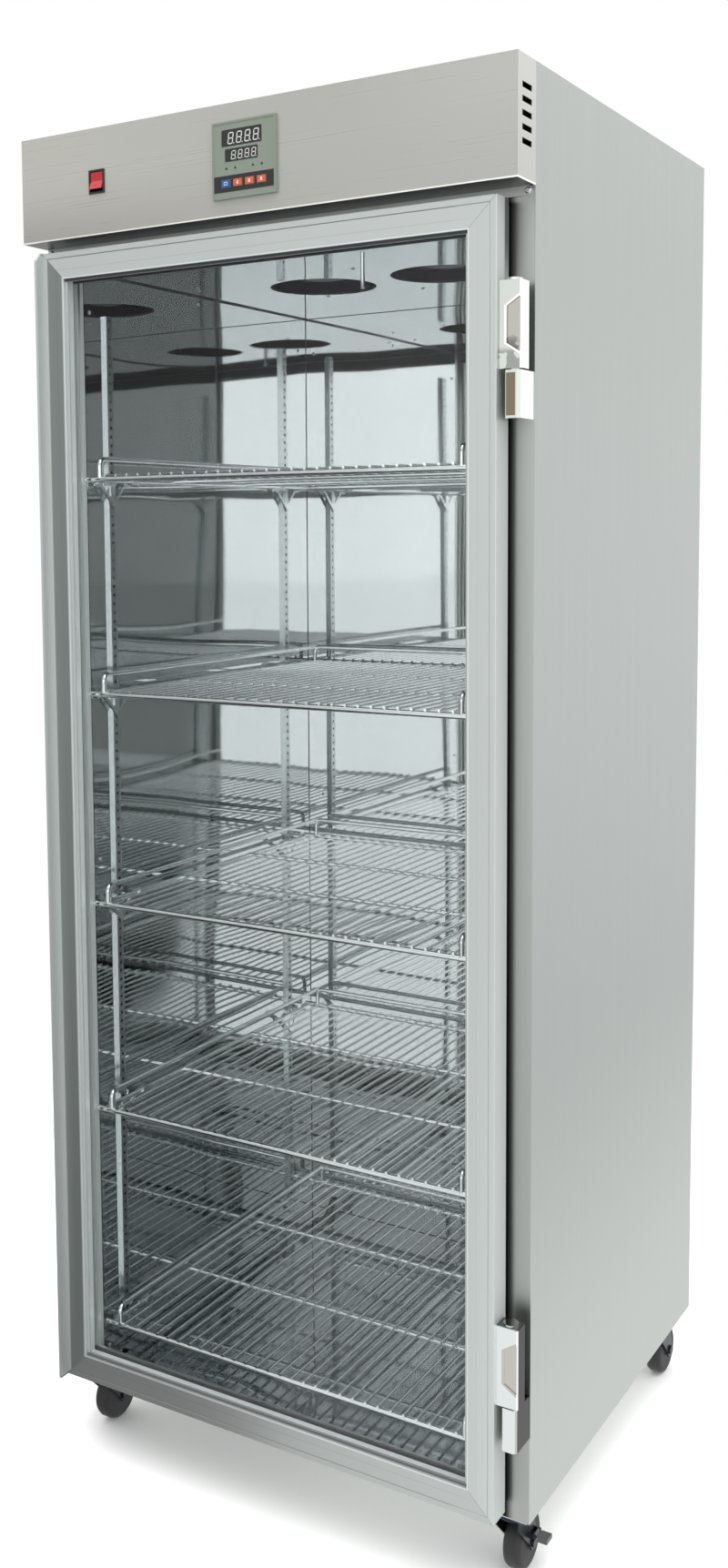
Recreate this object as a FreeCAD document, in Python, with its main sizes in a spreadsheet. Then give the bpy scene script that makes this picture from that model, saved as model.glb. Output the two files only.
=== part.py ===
import FreeCAD, Part
import math
import os
import re
import Sketcher

# A blanket warming cabinet: an insulated stainless cabinet on castors, with a glazed door, wire
# shelves, a heated fan chamber above the ceiling and a control header. The origin is on the floor
# under the middle of the whole cabinet, +Z is up and the door faces -Y.

# Driving sizes in millimetres, and angles in degrees.
SIZES = {
    # Cabinet shell
    "cab_width": 745,
    "cab_depth": 700,  # header front to back panel
    "cab_height": 1797,  # underside to top, without the castors
    "skin": 1.2,  # outer sheet
    "liner_gauge": 1.0,
    "base_gauge": 2.5,
    "wall_side": 62,  # outer face to inner face
    "wall_back": 45,
    "ceiling_drop": 177,  # top of the cabinet to the ceiling of the chamber
    "floor_rise": 30.5,  # underside of the cabinet to the floor of the chamber
    "lintel_lap": 10,  # lintel and jambs reach this far up behind the header
    "insulation_clear": 0.2,
    # Header
    "header_height": 141.5,
    "header_overhang": 52,  # header front to the front of the body
    "slot_length": 27.5,
    "slot_height": 7,
    "slot_pitch": 15.8,
    "slot_lift": 4.15,  # middle of the slots above the middle of the header
    "slot_inset": 26.25,  # header front to the middle of the slots
    "slot_count": 5,
    "rail_height": 11,
    "rail_gauge": 2.5,
    "rail_inset": 3,
    # Controller
    "panel_size": 96,
    "panel_lower": 1.25,  # middle of the bezel under the middle of the header
    "panel_rise": 5,  # bezel thickness
    "panel_border": 2.5,
    "panel_lap": 2.5,  # bezel past the case
    "panel_clear": 0.25,  # case to cut-out
    "panel_case_depth": 78,
    "face_recess": 0.6,
    "key_width": 12.4,
    "key_height": 8.4,
    "key_pitch": 18,
    "key_drop": 77.3,  # top of the bezel to the middle of the keys
    "key_length": 3,
    "key_rise": 0.8,
    "key_travel": 0.8,
    "key_clear": 0.25,
    # Rocker switch
    "switch_inset": 132.5,  # cabinet side to the switch
    "switch_lower": 0.45,
    "switch_width": 26,
    "switch_height": 31.5,
    "switch_rim": 2,
    "switch_lap": 1.5,  # rim past the body
    "switch_body_depth": 20,
    "switch_wall": 1,
    "rocker_clear": 0.3,
    "rocker_pin": 1.6,
    "rocker_crown": 1.2,  # ends of the rocker proud of its middle
    "rocker_room": 1.9,  # end of the rocker to the housing
    "rocker_tilt": 10,  # each way from the middle
    "rocker_pivot": 4,  # header front to the pivot
    # Door
    "door_margin": 28.5,  # cabinet side to door
    "door_rise": 15,  # cabinet underside to door
    "door_gap": 14.5,  # header underside to door
    "door_inset": 5,  # header front to door front
    "door_thick": 35,
    "frame_width": 37,
    "frame_wall": 2.5,
    "frame_groove": 8.5,  # outer edge to the fine groove
    "groove_size": 0.8,
    "glazing_lip": 4,
    "glazing_rebate": 10,
    "pane_gauge": 4,
    "pane_gap": 10,
    "pane_clear": 1,
    "seal_front": 3,
    "seal_rear": 1,
    "seal_overhang": 4,  # seal showing inside the frame
    "spacer_width": 9,
    "pull_reach": 15,
    "pull_gauge": 2.5,
    "pull_plate": 1.5,
    "pull_chamfer": 11,
    "gasket_inset": 5,
    "gasket_width": 14,
    "gasket_clear": 0.3,
    # Door hinges
    "pin_inset": 13,  # cabinet side to the pin
    "pin_setback": 22,  # header front to the pin
    "pin_radius": 4,
    "pin_clear": 0.05,
    "pin_reach": 60,  # pin inside the door leaf
    "leaf_drop": 254.5,
    "leaf_height": 102,
    "leaf_depth": 24,
    "leaf_overhang": 1,  # leaf past the cabinet side
    "leaf_chamfer": 2,
    "leaf_recess": 1.5,
    "recess_width": 18,
    "recess_edge": 17.5,  # leaf end to the wide side of the recess
    "recess_taper": 12,
    "hinge_rise": 172,  # cabinet underside to the lower leaf
    "cap_radius": 9.5,
    "cap_height": 3,
    "knuckle_height": 56,
    "knuckle_radius": 9.5,
    "knuckle_gap": 1.5,  # leaf to knuckle
    "washer_radius": 7,
    "washer_clear": 0.2,
    "bracket_gauge": 4,
    "bracket_width": 24,
    # Shelf strips and clips
    "strip_width": 14,
    "strip_depth": 5,
    "strip_gauge": 1.2,
    "strip_top": 234,  # top of the cabinet to the top of the strips
    "strip_rise": 49,  # cabinet underside to the foot of the strips
    "strip_front": 51,  # body front to the middle of the front strips
    "strip_back": 79,  # back wall to the middle of the rear strips
    "hole_pitch": 12.7,
    "hole_radius": 2.5,
    "clip_arm": 42,  # middle to the tip of each arm
    "clip_saddle": 15,
    "clip_seat": 11.5,  # strip to the shelf side bar
    "clip_web": 5,  # width of the arms
    "clip_gauge": 2,
    "clip_drop": 26,  # side bar to the peg
    "clip_lip": 4.5,  # side bar to the top of the saddle
    "clip_tab": 10,
    "saddle_clear": 0.1,
    "peg_radius": 2.4,
    "peg_length": 3.5,
    # Shelves
    "shelf_top": 468,  # top of the cabinet to the side bars of the top shelf
    "shelf_low": 53.9,  # floor of the chamber to the side bars of the lowest shelf
    "shelf_last_shift": 10,  # the lowest shelf stands further back
    "shelf_bar": 4,  # radius
    "shelf_side_bar": 3.5,
    "shelf_ends": 11.5,  # side bars to the ends of the cross bars
    "shelf_front": -7,  # body front to the front bar
    "shelf_back": 25,  # rear bar to the back wall
    "brace_radius": 3,
    "rung_radius": 1.9,
    "rung_inset": 23.8,  # side bars to the outer rungs
    "rung_overhang": 3.2,
    "weld_sink": 0.8,
    "guard_inset": 13,  # side bars to the guard rails
    "guard_height": 28.5,
    "guard_radius": 3.5,
    "guard_bend": 10,
    # Fans, heaters and probe
    "fan_gap": 24,  # between the two fan rings
    "fan_setback": 365,
    "fan_hole": 80,
    "fan_tip": 6,  # blade tips to the hole
    "fan_hub": 28,
    "fan_height": 24,
    "fan_lift": 12,
    "blade_gauge": 1.6,
    "blade_count": 7,
    "motor_radius": 36,
    "motor_height": 56,
    "motor_gap": 2,
    "blade_chord": 28,
    "blade_rise": 14,
    "shaft_radius": 4,
    "shaft_reach": 22,  # shaft inside the motor
    "shaft_clear": 0.05,
    "mount_rim": 10,
    "mount_gauge": 2.5,
    "mount_rod": 3,
    "mount_width": 24,
    "heater_radius": 4.1,
    "heater_lift": 60,
    "heater_room": 27.25,  # heater legs to the fan rings and the walls
    "heater_length": 380,
    "heater_stub": 12,  # terminal in front of the bulkhead
    "heater_nut": 8,
    "heater_nut_gauge": 4,
    "heater_clear": 0.2,
    "bulkhead_setback": 180,  # header front to the bulkhead
    "bulkhead_gauge": 1.5,
    "roof_thick": 28,
    "probe_x": 19.5,
    "probe_setback": 268,
    "probe_radius": 3,
    "probe_drop": 25,
    "probe_rise": 22,
    "probe_collar": 8,
    "probe_collar_gauge": 5,
    "probe_clear": 0.2,
    # Control gear
    "terminal_length": 120,
    "terminal_height": 22,
    "terminal_depth": 18,
    "relay_width": 45,
    "relay_height": 58,
    "relay_depth": 26,
    "gland_reach": 22,
    "gland_radius": 12,
    "gland_clear": 0.2,
    "gland_flange": 16,
    "gland_flange_gauge": 5,
    "gland_bore": 5,
    "gland_room": 3,  # nut to insulation
    "gland_drop": 70,
    "gland_inset": 122.5,  # cabinet side to the gland
    # Screws
    "screw_radius": 4.2,
    "screw_tip": 2.4,
    "screw_rise": 2.2,
    # Castors
    "castor_side": 36,  # cabinet side to the swivel
    "castor_front": 33,  # body front to the swivel
    "castor_back": 60,  # back panel to the swivel
    "castor_trail": 25,
    "plate_size": 62,
    "plate_gauge": 3,
    "race_radius": 22,
    "race_height": 7,
    "race_clear": 0.3,
    "kingpin_radius": 5,
    "kingpin_clear": 0.05,
    "kingpin_nut": 9,
    "kingpin_nut_gauge": 5,
    "yoke_radius": 24,
    "fork_gauge": 2.5,
    "cheek_top": 21,
    "cheek_skirt": 14,
    "cheek_foot": 10,
    "wheel_radius": 37.5,
    "wheel_width": 25,
    "wheel_clear": 2,  # wheel to fork cheek
    "wheel_gap": 6.9,  # wheel to kingpin nut
    "wheel_round": 6,
    "axle_radius": 4,
    "axle_clear": 0.05,
    "axle_head": 7,
    "axle_head_gauge": 3,
    "lever_rise": 12.5,  # axle to lever
    "lever_length": 18.5,
    "lever_pin": 2,
    "lever_wall": 1.2,
    "lever_gauge": 2,
    "lever_width": 14,
    "lever_lug": 2.5,
    "lever_clear": 0.3,
    "tread_width": 18,
    "tread_start": 5,
    "tread_pad": 4,
}

# Places worked out from the sizes, as expressions of the sheet.
FRONT = "(-(cab_depth + gland_reach - pull_reach + door_inset) / 2)"
BODY_FRONT = f"({FRONT} + header_overhang)"
BACK = f"({FRONT} + cab_depth)"
NUT_BASE = "(2 * wheel_radius + wheel_gap)"
FORK_TOP = f"({NUT_BASE} + kingpin_nut_gauge + race_clear + fork_gauge)"
RACE_BASE = f"({FORK_TOP} + race_clear)"
BASE = f"({RACE_BASE} + race_height + plate_gauge)"
TOP = f"({BASE} + cab_height)"
LEFT = "(-cab_width / 2)"
RIGHT = "(cab_width / 2)"
INNER_WIDTH = "(cab_width - 2 * wall_side)"
INNER_LEFT = f"(-{INNER_WIDTH} / 2)"
INNER_RIGHT = f"({INNER_WIDTH} / 2)"
INNER_BACK = f"({BACK} - wall_back)"
LINER_FRONT = f"({BODY_FRONT} + skin)"
CEILING = f"({TOP} - ceiling_drop)"
FLOOR = f"({BASE} + floor_rise)"
HEADER_BASE = f"({TOP} - header_height)"
DOOR_FRONT = f"({FRONT} + door_inset)"
DOOR_BACK = f"({DOOR_FRONT} + door_thick)"
DOOR_TOP = f"({HEADER_BASE} - door_gap)"
DOOR_BASE = f"({BASE} + door_rise)"
DOOR_WIDTH = "(cab_width - 2 * door_margin)"
DOOR_HEIGHT = f"({DOOR_TOP} - {DOOR_BASE})"
DOOR_LEFT = f"(-{DOOR_WIDTH} / 2)"
DOOR_RIGHT = f"({DOOR_WIDTH} / 2)"
BULKHEAD = f"({FRONT} + bulkhead_setback)"
PIN_X = f"({RIGHT} - pin_inset)"
PIN_Y = f"({FRONT} + pin_setback)"
STRIP_BASE = f"({BASE} + strip_rise)"
STRIP_LENGTH = "(cab_height - strip_top - strip_rise)"
STRIP_FRONT = f"({BODY_FRONT} + strip_front)"
STRIP_BACK = f"({INNER_BACK} - strip_back)"
SHELF_FRONT = f"({BODY_FRONT} + shelf_front)"
SHELF_BACK = f"({INNER_BACK} - shelf_back)"
SHELF_DEPTH = f"({SHELF_BACK} - {SHELF_FRONT})"
SHELF_LEVEL = f"({TOP} - shelf_top)"
SIDE_BAR = f"({INNER_WIDTH} / 2 - strip_depth - clip_seat)"
GUARD_SIDE = f"({SIDE_BAR} - guard_inset)"
HEADER_MIDDLE = f"({TOP} - header_height / 2)"
PANEL_TOP = f"({HEADER_MIDDLE} - panel_lower + panel_size / 2)"
PANEL_CASE = "(panel_size - 2 * panel_lap)"
SWITCH_MIDDLE = f"({HEADER_MIDDLE} - switch_lower)"
SWITCH_X = f"({LEFT} + switch_inset)"
SWITCH_BODY_WIDTH = "(switch_width - 2 * switch_lap)"
SWITCH_BODY_HEIGHT = "(switch_height - 2 * switch_lap)"
GLAZING_SLOT = "(seal_front + 2 * pane_gauge + pane_gap + seal_rear)"
PANE_FRONT = "(glazing_lip + seal_front)"
LEAF_BASE = f"({TOP} - leaf_drop - leaf_height)"
GLAND_X = f"({RIGHT} - gland_inset)"
HINGE_SPACING = "(cab_height - leaf_drop - leaf_height - hinge_rise)"
FAN_SPACING = "(2 * (fan_hole + mount_rim) + fan_gap)"
FORK_WIDTH = "(wheel_width + 2 * (wheel_clear + fork_gauge))"
LEVER_EYE = "(lever_pin + lever_wall)"
LEVER_PIVOT = f"({LEVER_EYE} + lever_clear)"  # fork cheek to the pivot

PARTS_FOLDER = "parts"
AXES = {
    "+X": FreeCAD.Vector(1, 0, 0),
    "-X": FreeCAD.Vector(-1, 0, 0),
    "+Y": FreeCAD.Vector(0, 1, 0),
    "-Y": FreeCAD.Vector(0, -1, 0),
    "+Z": FreeCAD.Vector(0, 0, 1),
    "-Z": FreeCAD.Vector(0, 0, -1),
}

doc = FreeCAD.newDocument("BlanketWarmingCabinet")
sheet = doc.addObject("Spreadsheet::Sheet", "Sizes")
for row, (alias, size) in enumerate(SIZES.items(), start=1):
    sheet.set(f"A{row}", alias)
    sheet.set(f"B{row}", str(size))
    sheet.setAlias(f"B{row}", alias)
doc.recompute()

exported = []


def bound(text):
    """Point each size name in an expression at its cell of the sheet."""
    return re.sub(r"[a-z_]\w*", lambda word: sheet_name(word.group()), text)


def sheet_name(word):
    return f"Sizes.{word}" if word in SIZES else word


def place(shape_object, x="0", y="0", z="0", turn=None):
    """Turn an object about its own origin, then bind its origin to a point."""
    if turn:
        shape_object.Placement = FreeCAD.Placement(FreeCAD.Vector(), turn)
    for letter, text in (("x", x), ("y", y), ("z", z)):
        shape_object.setExpression(f".Placement.Base.{letter}", bound(text))
    return shape_object


def part(label, shape_object):
    """Name a finished sub-part and list it for export."""
    shape_object.Label = label
    exported.append(shape_object)
    return shape_object


def primitive(kind, name, **sizes):
    shape_object = doc.addObject(f"Part::{kind}", name)
    for size, text in sizes.items():
        shape_object.setExpression(size, bound(text))
    return shape_object


def box(name, x, y, z, length, width, height):
    """A box from its low corner and its sizes along X, Y and Z."""
    return place(primitive("Box", name, Length=length, Width=width, Height=height), x, y, z)


def centred_box(name, x, y, z, length, width, height):
    """A box centred on a point."""
    corner = [f"({middle}) - ({size}) / 2" for middle, size in ((x, length), (y, width), (z, height))]
    return box(name, *corner, length, width, height)


def along(axis):
    """The turn that brings +Z onto an axis of the cabinet."""
    return FreeCAD.Rotation(AXES["+Z"], AXES[axis])


def rod(name, x, y, z, radius, length, axis="+Z"):
    """A cylinder from the middle of one end, along an axis of the cabinet."""
    return place(primitive("Cylinder", name, Radius=radius, Height=length), x, y, z, along(axis))


def elbow(name, x, y, z, radius, bend, start, end, angle="90"):
    """A bent rod about a centre, from one axis of the cabinet towards another."""
    ring = primitive("Torus", name, Radius1=bend, Radius2=radius, Angle3=angle)
    normal = AXES[start].cross(AXES[end])
    return place(ring, x, y, z, FreeCAD.Rotation(AXES[start], AXES[end], normal, "ZXY"))


def cut(name, base, *tools):
    for number, tool in enumerate(tools, start=1):
        label = name if number == len(tools) else f"{name}_step_{number}"
        result = doc.addObject("Part::Cut", label)
        result.Base = base
        result.Tool = tool
        base = result
    return base


def fuse(name, *shapes):
    result = doc.addObject("Part::MultiFuse", name)
    result.Shapes = list(shapes)
    result.Refine = True
    return result


def group(name, *shapes):
    """Separate solids kept together as one sub-part."""
    result = doc.addObject("Part::Compound", name)
    result.Links = list(shapes)
    return result


def copy_of(name, source, x="0", y="0", z="0", turn=None):
    """The same shape in another place."""
    return place(group(name, source), x, y, z, turn)


def mirrored(name, source):
    """The same shape on the other side of the middle of the cabinet."""
    result = doc.addObject("Part::Mirroring", name)
    result.Source = source
    result.Normal = FreeCAD.Vector(1, 0, 0)
    return result


def body(name):
    return doc.addObject("PartDesign::Body", name)


def sketch(owner, plane, name, *outlines):
    """A sketch of closed outlines, with every corner bound to a pair of expressions."""
    result = owner.newObject("Sketcher::SketchObject", name)
    origin_plane = next(item for item in owner.Origin.OriginFeatures if item.Role == plane)
    result.AttachmentSupport = (origin_plane, [""])
    result.MapMode = "FlatFace"
    for outline in outlines:
        draw_outline(result, outline)
    return result


def draw_outline(target, outline):
    first = target.GeometryCount
    count = len(outline)
    ring = [
        FreeCAD.Vector(math.cos(2 * math.pi * step / count), math.sin(2 * math.pi * step / count))
        for step in range(count)
    ]
    for step in range(count):
        target.addGeometry(Part.LineSegment(ring[step], ring[(step + 1) % count]))
    for step, corner in enumerate(outline):
        here = first + step
        following = first + (step + 1) % count
        target.addConstraint(Sketcher.Constraint("Coincident", here, 2, following, 1))
        for kind, text in zip(("DistanceX", "DistanceY"), corner):
            number = target.addConstraint(Sketcher.Constraint(kind, -1, 1, here, 1, 1.0))
            target.setExpression(f"Constraints[{number}]", bound(text))


def rectangle(left, bottom, right, top):
    return [(left, bottom), (right, bottom), (right, top), (left, top)]


def circle_sketch(owner, plane, name, u, v, radius):
    result = sketch(owner, plane, name)
    result.addGeometry(Part.Circle(FreeCAD.Vector(1, 1), FreeCAD.Vector(0, 0, 1), 1))
    for constraint, text in (
        (Sketcher.Constraint("DistanceX", -1, 1, 0, 3, 1.0), u),
        (Sketcher.Constraint("DistanceY", -1, 1, 0, 3, 1.0), v),
        (Sketcher.Constraint("Radius", 0, 1.0), radius),
    ):
        number = result.addConstraint(constraint)
        result.setExpression(f"Constraints[{number}]", bound(text))
    return result


def feature(owner, kind, name, profile, **sizes):
    """A sketch-based feature; sizes are expressions, and other values are set as they are."""
    result = owner.newObject(f"PartDesign::{kind}", name)
    result.Profile = profile
    for key, value in sizes.items():
        if key in ("Length", "Angle"):
            result.setExpression(key, bound(value))
        else:
            setattr(result, key, value)
    return result


def line_pattern(owner, name, original, direction, length, count):
    """Repeat a feature along one of the body's own axes; length is from first to last."""
    result = owner.newObject("PartDesign::LinearPattern", name)
    result.Originals = [original]
    axis = next(item for item in owner.Origin.OriginFeatures if item.Role == direction)
    result.Direction = (axis, [""])
    result.setExpression("Length", bound(length))
    result.setExpression("Occurrences", bound(count))
    owner.Tip = result
    return result


# Cabinet shell -------------------------------------------------------------------------------


def make_shell():
    side_depth = "cab_depth - header_overhang"
    inside_skin = "cab_width - 2 * skin"
    jamb_width = "wall_side - skin"
    jamb_height = "cab_height - header_height + lintel_lap"
    skin_left = f"{LEFT} + skin"
    part("side_panel_left", box("SideLeft", LEFT, BODY_FRONT, BASE, "skin", side_depth, "cab_height"))
    part(
        "side_panel_right",
        box("SideRight", f"{RIGHT} - skin", BODY_FRONT, BASE, "skin", side_depth, "cab_height"),
    )
    part(
        "back_panel",
        cut(
            "Back",
            box("BackSheet", skin_left, f"{BACK} - skin", BASE, inside_skin, "skin", "cab_height"),
            rod(
                "BackGlandHole",
                GLAND_X,
                f"{BACK} - 2 * skin",
                f"{TOP} - gland_drop",
                "gland_radius",
                "3 * skin",
                "+Y",
            ),
        ),
    )
    part(
        "top_panel",
        box("Top", skin_left, BODY_FRONT, f"{TOP} - skin", inside_skin, f"{side_depth} - skin", "skin"),
    )
    base_depth = f"{side_depth} - 2 * skin"
    base_sheet = box("BaseSheet", skin_left, LINER_FRONT, BASE, inside_skin, base_depth, "base_gauge")
    part("base_panel", base_sheet)
    jambs = [
        box(f"Jamb_{side}", low_x, BODY_FRONT, BASE, jamb_width, "skin", jamb_height)
        for side, low_x in (("left", skin_left), ("right", INNER_RIGHT))
    ]
    part("front_jambs", group("Jambs", *jambs))


def make_liner():
    liner_depth = f"{INNER_BACK} - {LINER_FRONT}"
    chamber_height = f"{CEILING} - {FLOOR}"
    outer_left = f"{INNER_LEFT} - liner_gauge"
    outer_width = f"{INNER_WIDTH} + 2 * liner_gauge"
    for side, low_x in (("left", outer_left), ("right", INNER_RIGHT)):
        wall = box(f"Wall_{side}", low_x, LINER_FRONT, FLOOR, "liner_gauge", liner_depth, chamber_height)
        part(f"liner_{side}", wall)
    part(
        "liner_back",
        box("WallBack", outer_left, INNER_BACK, FLOOR, outer_width, "liner_gauge", chamber_height),
    )
    sheet_depth = f"{liner_depth} + liner_gauge"
    under_floor = f"{FLOOR} - liner_gauge"
    floor_sheet = box(
        "FloorSheet", outer_left, LINER_FRONT, under_floor, outer_width, sheet_depth, "liner_gauge"
    )
    sill = box("Sill", INNER_LEFT, BODY_FRONT, BASE, INNER_WIDTH, "skin", "floor_rise")
    part("liner_floor", fuse("Floor", floor_sheet, sill))
    ceiling_sheet = box(
        "CeilingSheet", outer_left, LINER_FRONT, CEILING, outer_width, sheet_depth, "liner_gauge"
    )
    lintel_height = "ceiling_drop - header_height + lintel_lap"
    lintel = box("Lintel", INNER_LEFT, BODY_FRONT, CEILING, INNER_WIDTH, "skin", lintel_height)
    below = f"{CEILING} - liner_gauge"
    through = "3 * liner_gauge"
    fan_y = f"{FRONT} + fan_setback"
    holes = [
        rod(f"FanHole_{side}", f"{sign}{FAN_SPACING} / 2", fan_y, below, "fan_hole", through)
        for side, sign in (("left", "-"), ("right", ""))
    ]
    probe_hole = "probe_radius + probe_clear"
    holes.append(rod("ProbeHole", "probe_x", f"{FRONT} + probe_setback", below, probe_hole, through))
    part("liner_ceiling", cut("Ceiling", fuse("CeilingFold", ceiling_sheet, lintel), *holes))


def make_insulation():
    """Slabs that fill the space between the skin and the liner."""
    clear = "insulation_clear"
    side_thick = f"wall_side - skin - liner_gauge - 2 * {clear}"
    low_y = f"{LINER_FRONT} + {clear}"
    low_z = f"{BASE} + base_gauge + {clear}"
    full_height = f"cab_height - base_gauge - skin - 2 * {clear}"
    side_depth = f"{BACK} - skin - {clear} - ({low_y})"
    slabs = [
        box(f"Slab_{side}", low_x, low_y, low_z, side_thick, side_depth, full_height)
        for side, low_x in (
            ("left", f"{LEFT} + skin + {clear}"),
            ("right", f"{INNER_RIGHT} + liner_gauge + {clear}"),
        )
    ]
    inner_x = f"{INNER_LEFT} - liner_gauge"
    inner_width = f"{INNER_WIDTH} + 2 * liner_gauge"
    back_y = f"{INNER_BACK} + liner_gauge + {clear}"
    back_thick = f"wall_back - skin - liner_gauge - 2 * {clear}"
    back_slab = box("SlabBack", inner_x, back_y, low_z, inner_width, back_thick, full_height)
    gland_pocket = rod(
        "SlabGlandPocket",
        GLAND_X,
        f"{INNER_BACK} - wall_back",
        f"{TOP} - gland_drop",
        "gland_flange + gland_room",
        "3 * wall_back",
        "+Y",
    )
    slabs.append(cut("SlabBackHoled", back_slab, gland_pocket))
    floor_thick = f"floor_rise - base_gauge - liner_gauge - 2 * {clear}"
    floor_depth = f"{INNER_BACK} + liner_gauge - ({low_y})"
    slabs.append(box("SlabFloor", inner_x, low_y, low_z, inner_width, floor_depth, floor_thick))
    roof_y = f"{BULKHEAD} + bulkhead_gauge + {clear}"
    roof_z = f"{TOP} - skin - {clear} - roof_thick"
    roof_depth = f"{INNER_BACK} + liner_gauge - ({roof_y})"
    slabs.append(box("SlabRoof", inner_x, roof_y, roof_z, inner_width, roof_depth, "roof_thick"))
    part("insulation_slabs", group("Insulation", *slabs))


# Header and controls -------------------------------------------------------------------------


def make_header():
    """The folded front of the header, open at the back, with its vents and cut-outs."""
    header = body("Header")
    place(header, "0", FRONT, TOP)
    front = sketch(header, "XZ_Plane", "HeaderFront", rectangle(LEFT, "-header_height", RIGHT, "0"))
    feature(header, "Pad", "HeaderBlock", front, Length="header_overhang", Reversed=True)
    inner = rectangle(f"{LEFT} + skin", "-header_height + skin", f"{RIGHT} - skin", "-skin")
    hollow = sketch(header, "XZ_Plane", "HeaderHollow", inner)
    hollow.setExpression(".AttachmentOffset.Base.z", bound("-skin"))
    feature(header, "Pocket", "HeaderInside", hollow, Length="header_overhang", Reversed=False)
    half_panel = f"({PANEL_CASE} / 2 + panel_clear)"
    panel_middle = "-header_height / 2 - panel_lower"
    panel_hole = rectangle(
        f"-{half_panel}", f"{panel_middle} - {half_panel}", half_panel, f"{panel_middle} + {half_panel}"
    )
    switch_middle = "-header_height / 2 - switch_lower"
    switch_hole = rectangle(
        f"{SWITCH_X} - {SWITCH_BODY_WIDTH} / 2",
        f"{switch_middle} - {SWITCH_BODY_HEIGHT} / 2",
        f"{SWITCH_X} + {SWITCH_BODY_WIDTH} / 2",
        f"{switch_middle} + {SWITCH_BODY_HEIGHT} / 2",
    )
    holes = sketch(header, "XZ_Plane", "HeaderHoles", panel_hole, switch_hole)
    feature(header, "Pocket", "HeaderCutouts", holes, Length="2 * skin", Midplane=True)
    slot_z = "(slot_lift - header_height / 2 + slot_pitch * (slot_count - 1) / 2)"
    slot = rectangle(
        "slot_inset - slot_length / 2",
        f"{slot_z} - slot_height / 2",
        "slot_inset + slot_length / 2",
        f"{slot_z} + slot_height / 2",
    )
    slot_sketch = sketch(header, "YZ_Plane", "HeaderSlot", slot)
    vent = feature(header, "Pocket", "HeaderVent", slot_sketch, Length="2 * cab_width", Midplane=True)
    pattern = line_pattern(
        header, "HeaderVents", vent, "Z_Axis", "slot_pitch * (slot_count - 1)", "slot_count"
    )
    pattern.Reversed = True
    part("header_fascia", header)


def make_front_rail():
    """The strip under the header, rounded at both ends, with a screw in each."""
    width = "cab_width - 2 * rail_inset"
    end_radius = "rail_height / 2"
    low_y = f"{BODY_FRONT} - rail_gauge"
    middle_z = f"{HEADER_BASE} - {end_radius}"
    bar = box(
        "RailBar",
        f"{LEFT} + rail_inset + {end_radius}",
        low_y,
        f"{HEADER_BASE} - rail_height",
        f"{width} - rail_height",
        "rail_gauge",
        "rail_height",
    )
    ends = [
        rod(f"RailEnd_{side}", x, low_y, middle_z, end_radius, "rail_gauge", "+Y")
        for side, x in (
            ("left", f"{LEFT} + rail_inset + {end_radius}"),
            ("right", f"{RIGHT} - rail_inset - {end_radius}"),
        )
    ]
    part("fascia_rail", fuse("Rail", bar, *ends))


def make_controller():
    """The temperature controller: a case with its bezel and face, and four keys."""
    middle_z = f"{PANEL_TOP} - panel_size / 2"
    bezel_front = f"{FRONT} - panel_rise"
    key_z = f"{PANEL_TOP} - key_drop"
    bezel = centred_box(
        "Bezel", "0", f"{FRONT} - panel_rise / 2", middle_z, "panel_size", "panel_rise", "panel_size"
    )
    case_depth = "panel_case_depth"
    case = centred_box(
        "Case", "0", f"{FRONT} + {case_depth} / 2", middle_z, PANEL_CASE, case_depth, PANEL_CASE
    )
    face_size = "(panel_size - 2 * panel_border)"
    recess = centred_box("FaceRecess", "0", bezel_front, middle_z, face_size, "2 * face_recess", face_size)
    well_depth = "key_length + key_travel"
    wells = [
        centred_box(
            f"KeyWell_{number}",
            f"{offset} * key_pitch",
            f"{bezel_front}",
            key_z,
            "key_width + 2 * key_clear",
            f"2 * ({well_depth})",
            "key_height + 2 * key_clear",
        )
        for number, offset in enumerate((-1.5, -0.5, 0.5, 1.5), start=1)
    ]
    key_wells = group("KeyWells", *wells)
    part("controller_case", cut("Controller", fuse("ControllerBlock", bezel, case), recess, key_wells))
    names = ("set", "shift", "down", "up")
    for name, offset in zip(names, (-1.5, -0.5, 0.5, 1.5)):
        key = centred_box(
            f"Key_{name}",
            f"{offset} * key_pitch",
            f"{bezel_front} - key_rise + key_length / 2",
            key_z,
            "key_width",
            "key_length",
            "key_height",
        )
        part(f"controller_key_{name}", key)


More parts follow.
